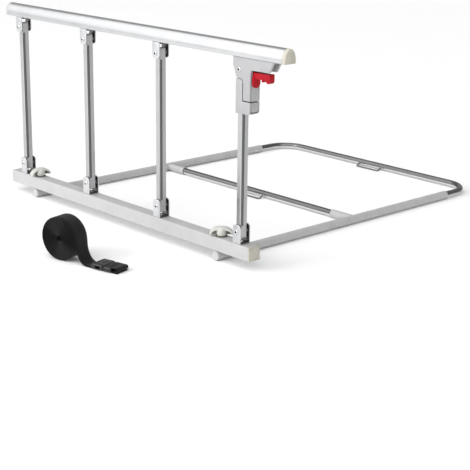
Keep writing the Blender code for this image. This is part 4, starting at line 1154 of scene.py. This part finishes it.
def buckle_socket_mesh():
    """Socket half: rounded shell, open mouth, side windows, a strap bar and a shallow recess on top."""
    start, end, wall, half = 0.088, 0.119, 0.0020, BUCKLE_HALF
    top = BUCKLE_BASE + BUCKLE_RISE
    shell = prism(soft_plan(start, end, half, 0.0042), "Z", BUCKLE_BASE, top)
    bevel_sharp(shell, 0.0022, 4)
    low, high = BUCKLE_BASE + wall, top - wall
    mouth = box((start + 0.010, -half + 0.0035, low), (end + 0.010, half - 0.0035, high))
    tools = [mouth]
    for side in (-1, 1):
        tools.append(box((start + 0.012, min(side * 0.010, side * 0.030), low + 0.0002),
                         (end - 0.007, max(side * 0.010, side * 0.030), high - 0.0002)))
    tools.append(box((start + 0.0028, -0.0165, -0.01), (start + 0.0062, 0.0165, 0.03)))
    plan = rounded_rectangle(0.0100, 0.0150, 0.0030, 8, (end - 0.0090, 0.0))
    tools.append(prism(plan, "Z", top - 0.0007, top + 0.01))
    return cut(shell, *tools)


def buckle_prong_mesh():
    """Prong half: frame with two strap bars, centre guide and two side arms with catch pads."""
    start, end = 0.1193, 0.140
    top = BUCKLE_BASE + BUCKLE_RISE
    body = prism(soft_plan(start, end, BUCKLE_HALF, 0.0036), "Z", BUCKLE_BASE, top - 0.001)
    bevel_sharp(body, 0.0020, 4)
    tools = [box((start + 0.0060, -0.0170, -0.01), (start + 0.0092, 0.0170, 0.03)),
             box((start + 0.0125, -0.0170, -0.01), (start + 0.0160, 0.0170, 0.03))]
    body = cut(body, *tools)
    low, high = BUCKLE_BASE + 0.0023, top - 0.0023
    arms = []
    for side in (-1, 1):
        outline = [(start + 0.002, side * 0.0120), (start + 0.002, side * 0.0165),
                   (start - 0.0060, side * 0.0178), (start - 0.0150, side * 0.0166),
                   (start - 0.0199, side * 0.0136), (start - 0.0199, side * 0.0118),
                   (start - 0.0120, side * 0.0126)]
        arm = prism(outline, "Z", low, high)
        arms.append(bevel_sharp(arm, 0.0006, 2, lambda point: abs(point.x - start) > 0.0021))
    guide = box((start - 0.0199, -0.0026, low), (start + 0.002, 0.0026, high))
    arms.append(bevel_sharp(guide, 0.0006, 2, lambda point: point.x < start))
    return fuse(body, *arms)


# ---------------------------------------------------------------- assembly

SIDES = (("left", -1), ("right", 1))


def add_base():
    put("rail_tube", base_rail_mesh(), "rail", "root", ["base_rail"])
    for name, side in SIDES:
        node = "base_cap_" + name
        put(node + "_moulding", base_cap_mesh(node, side), "ivory", "root", [node])


def add_hinges():
    rivet = mesh_data("domed_rivet", rivet_mesh(BRACKET_DEPTH / 2))
    for level, mesh, body, places in (("lower", lower_bracket_mesh(), "root", LOWER_PIVOTS),
                                      ("upper", upper_bracket_mesh(), "top_rail", UPPER_PIVOTS[:3])):
        bracket = mesh_data(f"pressed_{level}_bracket", mesh)
        for number, place in enumerate(places, 1):
            put(f"pressed_{level}_bracket_{number}", bracket, "bracket", body,
                [f"{level}_bracket_{number}"], place)
            put(f"domed_{level}_rivet_{number}", rivet, "rivet", body,
                [f"{level}_rivet_{number}"], place)


def add_posts():
    plain = mesh_data("post_tube", post_mesh(BOSS_RADIUS + GAP))
    latched = mesh_data("latch_post_tube", post_mesh(RIVET_RADIUS + GAP))
    foot = mesh_data("moulded_foot", post_plug_mesh(-1, POST_END))
    head = mesh_data("moulded_head", post_plug_mesh(1, POST_TOP))
    for number, place in enumerate(LOWER_PIVOTS, 1):
        body = f"post_link_{number}"
        tube = latched if number == 4 else plain
        put(f"post_tube_{number}", tube, "post", body, [f"post_{number}"], place)
        put(f"moulded_foot_{number}", foot, "grey", body, [f"post_foot_{number}"], place)
        if number < 4:
            put(f"moulded_head_{number}", head, "grey", body, [f"post_head_{number}"],
                UPPER_PIVOTS[number - 1])


def add_handrail():
    put("handrail_extrusion", handrail_mesh(), "handrail", "top_rail", ["handrail"], sharp_angle=50)
    for (name, side), look in zip(SIDES, ("white", "pale_ivory")):
        node = "handrail_cap_" + name
        put(node + "_moulding", handrail_cap_mesh(node, side), look, "top_rail", [node],
            sharp_angle=50)


def add_latch():
    pieces = (("cast_latch_housing", latch_housing_mesh(), "cast", "top_rail", "latch_housing"),
              ("cast_latch_collar", latch_collar_mesh(), "cast", "post_link_4", "latch_collar"),
              ("domed_latch_rivet", rivet_mesh(LATCH_HALF_DEPTH), "rivet", "top_rail", "latch_rivet"),
              ("red_finger_lever", release_lever_mesh(), "red", "release", "release_lever"))
    for name, mesh, look, body, node in pieces:
        put(name, mesh, look, body, [node], UPPER_PIVOTS[3])
    spring = put("coil_spring", latch_spring_mesh(), "bright", "top_rail", ["latch_spring"])
    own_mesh(spring)


def add_clamps():
    knob = mesh_data("wing_knob", knob_mesh(), 50)
    washer = mesh_data("soft_washer", knob_washer_mesh())
    for name, side in SIDES:
        put(f"wing_knob_{name}", knob, "knob", f"clamp_knob_{name}", [f"knob_{name}"],
            (side * SIDE_TUBE_X, 0.0, KNOB_FOOT_Z), KNOB_TURNS[name])
        put(f"soft_washer_{name}", washer, "rubber", "root", [f"knob_washer_{name}"],
            (side * SIDE_TUBE_X, 0.0, RAIL_TOP + GAP))


def add_frame():
    plug = mesh_data("moulded_plug", tube_plug_mesh())
    for name, side in SIDES:
        put(f"coated_side_tube_{name}", side_tube_mesh(side), "frame", "root", [f"side_tube_{name}"])
        put(f"moulded_plug_{name}", plug, "white", "root", [f"tube_plug_{name}"],
            (side * SIDE_TUBE_X, SIDE_TUBE_FRONT, TUBE_Z))
        put(f"spring_button_{name}", snap_button_mesh(side), "bright", f"button_{name}",
            [f"snap_button_{name}"], (side * SIDE_TUBE_X, BUTTON_Y, TUBE_Z))
    put("drawn_crossbar", crossbar_mesh(), "tube_x", "root", ["crossbar"])
    put("drawn_end_bow", end_bow_mesh(), "tube", "root", ["end_bow"])


def add_strap():
    pieces = (("strap_turns", strap_webbing(), "webbing", "strap", ["strap_roll", "strap_tail"]),
              ("strap_end", strap_end_band(), "webbing", "buckle_half", ["strap_end_loop"]),
              ("socket_half", buckle_socket_mesh(), "buckle", "strap", ["buckle_socket"]),
              ("prong_half", buckle_prong_mesh(), "buckle", "buckle_half", ["buckle_prong"]))
    for name, shape, look, body, nodes in pieces:
        put(name, shape, look, body, nodes, STRAP_PLACE, STRAP_TURN)


def finish_cad_nodes():
    """Inner pieces that keep their CAD shape get a finish of their own kind."""
    screws = [f"bracket_screw_{number}" for number in (1, 2, 3, 4)]
    for name in ["latch_bolt", "knob_stud_left", "knob_stud_right"] + screws:
        piece = frame["nodes"][name]
        for slot in piece.material_slots:
            slot.material = LOOKS["bright"]


# ---------------------------------------------------------------- stage, light and camera

def add_floor():
    mesh = bmesh.new()
    bmesh.ops.create_grid(mesh, x_segments=8, y_segments=8, size=14.0)
    floor = bpy.data.objects.new("floor", mesh_data("floor", mesh))
    floor.location = (0.0, 0.0, FLOOR_Z - ORIGIN.z)
    made, shader = start_material("floor_paper", 0.0, {"Specular IOR Level": 0.1, "Roughness": 0.85})
    tone = noise_at(object_coordinates(shader), (1, 1, 1), 1.4)
    colour = two_colours(tone, (0.95, 0.95, 0.95), (0.97, 0.97, 0.97))
    made.node_tree.links.new(colour, shader.inputs["Base Color"])
    floor.data.materials.append(made)
    bpy.context.scene.collection.objects.link(floor)


def add_light(place, target):
    lamp = bpy.data.lights.new("key", "AREA")
    lamp.energy = 34.0
    lamp.shape = "RECTANGLE"
    lamp.size = 1.5
    lamp.size_y = 0.9
    made = bpy.data.objects.new("key", lamp)
    made.location = place
    made.rotation_mode = "QUATERNION"
    made.rotation_quaternion = (Vector(target) - Vector(place)).to_track_quat("-Z", "Y")
    bpy.context.scene.collection.objects.link(made)


def add_world():
    """Bright sky in front and above, darker behind for the metal; the camera sees plain white."""
    world = bpy.data.worlds.new("studio")
    bpy.context.scene.world = world
    world.use_nodes = True
    tree = world.node_tree
    direction = add_node(tree, "TexCoord").outputs["Generated"]
    x, y, z = axes_of(direction)
    ramp = add_node(tree, "ValToRGB", inputs={"Fac": z * 0.55 + y * -0.75})
    for stop, position, colour in zip(ramp.color_ramp.elements, (0.33, 0.52),
                                      ((0.26, 0.26, 0.265, 1.0), (1.0, 1.0, 1.0, 1.0))):
        stop.position = position
        stop.color = colour
    sky = add_node(tree, "Background", inputs={"Color": ramp.outputs[0], "Strength": 1.62})
    backdrop = add_node(tree, "Background", inputs={"Color": (1.0, 1.0, 1.0, 1.0), "Strength": 1.0})
    seen = add_node(tree, "LightPath").outputs["Is Camera Ray"]
    both = add_node(tree, "MixShader", inputs={0: seen, 1: sky.outputs[0], 2: backdrop.outputs[0]})
    tree.links.new(both.outputs[0], tree.nodes["World Output"].inputs["Surface"])


def add_camera():
    azimuth, elevation, roll = (radians(value) for value in VIEW_ANGLES)
    back = Vector((sin(azimuth) * cos(elevation),
                   -cos(azimuth) * cos(elevation), sin(elevation)))
    right = (-back).cross(Vector((0, 0, 1))).normalized()
    up = right.cross(-back)
    turned_right = right * cos(roll) + up * sin(roll)
    turned_up = -right * sin(roll) + up * cos(roll)
    lens = bpy.data.cameras.new("camera")
    lens.lens = VIEW_LENS
    lens.sensor_width = 36.0
    lens.clip_start = 0.05
    lens.clip_end = 60.0
    camera = bpy.data.objects.new("camera", lens)
    axes = Matrix((turned_right, turned_up, back)).transposed().to_4x4()
    camera.matrix_world = Matrix.Translation(VIEW_PLACE) @ axes
    bpy.context.scene.collection.objects.link(camera)
    bpy.context.scene.camera = camera


def add_studio():
    bpy.context.scene.view_settings.view_transform = "Standard"
    add_floor()
    add_world()
    add_light(place=(-0.9, -3.0, 1.7), target=(0.1, 0.1, 0.1))
    add_camera()


add_base()
add_hinges()
add_posts()
add_handrail()
add_latch()
add_clamps()
add_frame()
add_strap()
finish_cad_nodes()
add_studio()
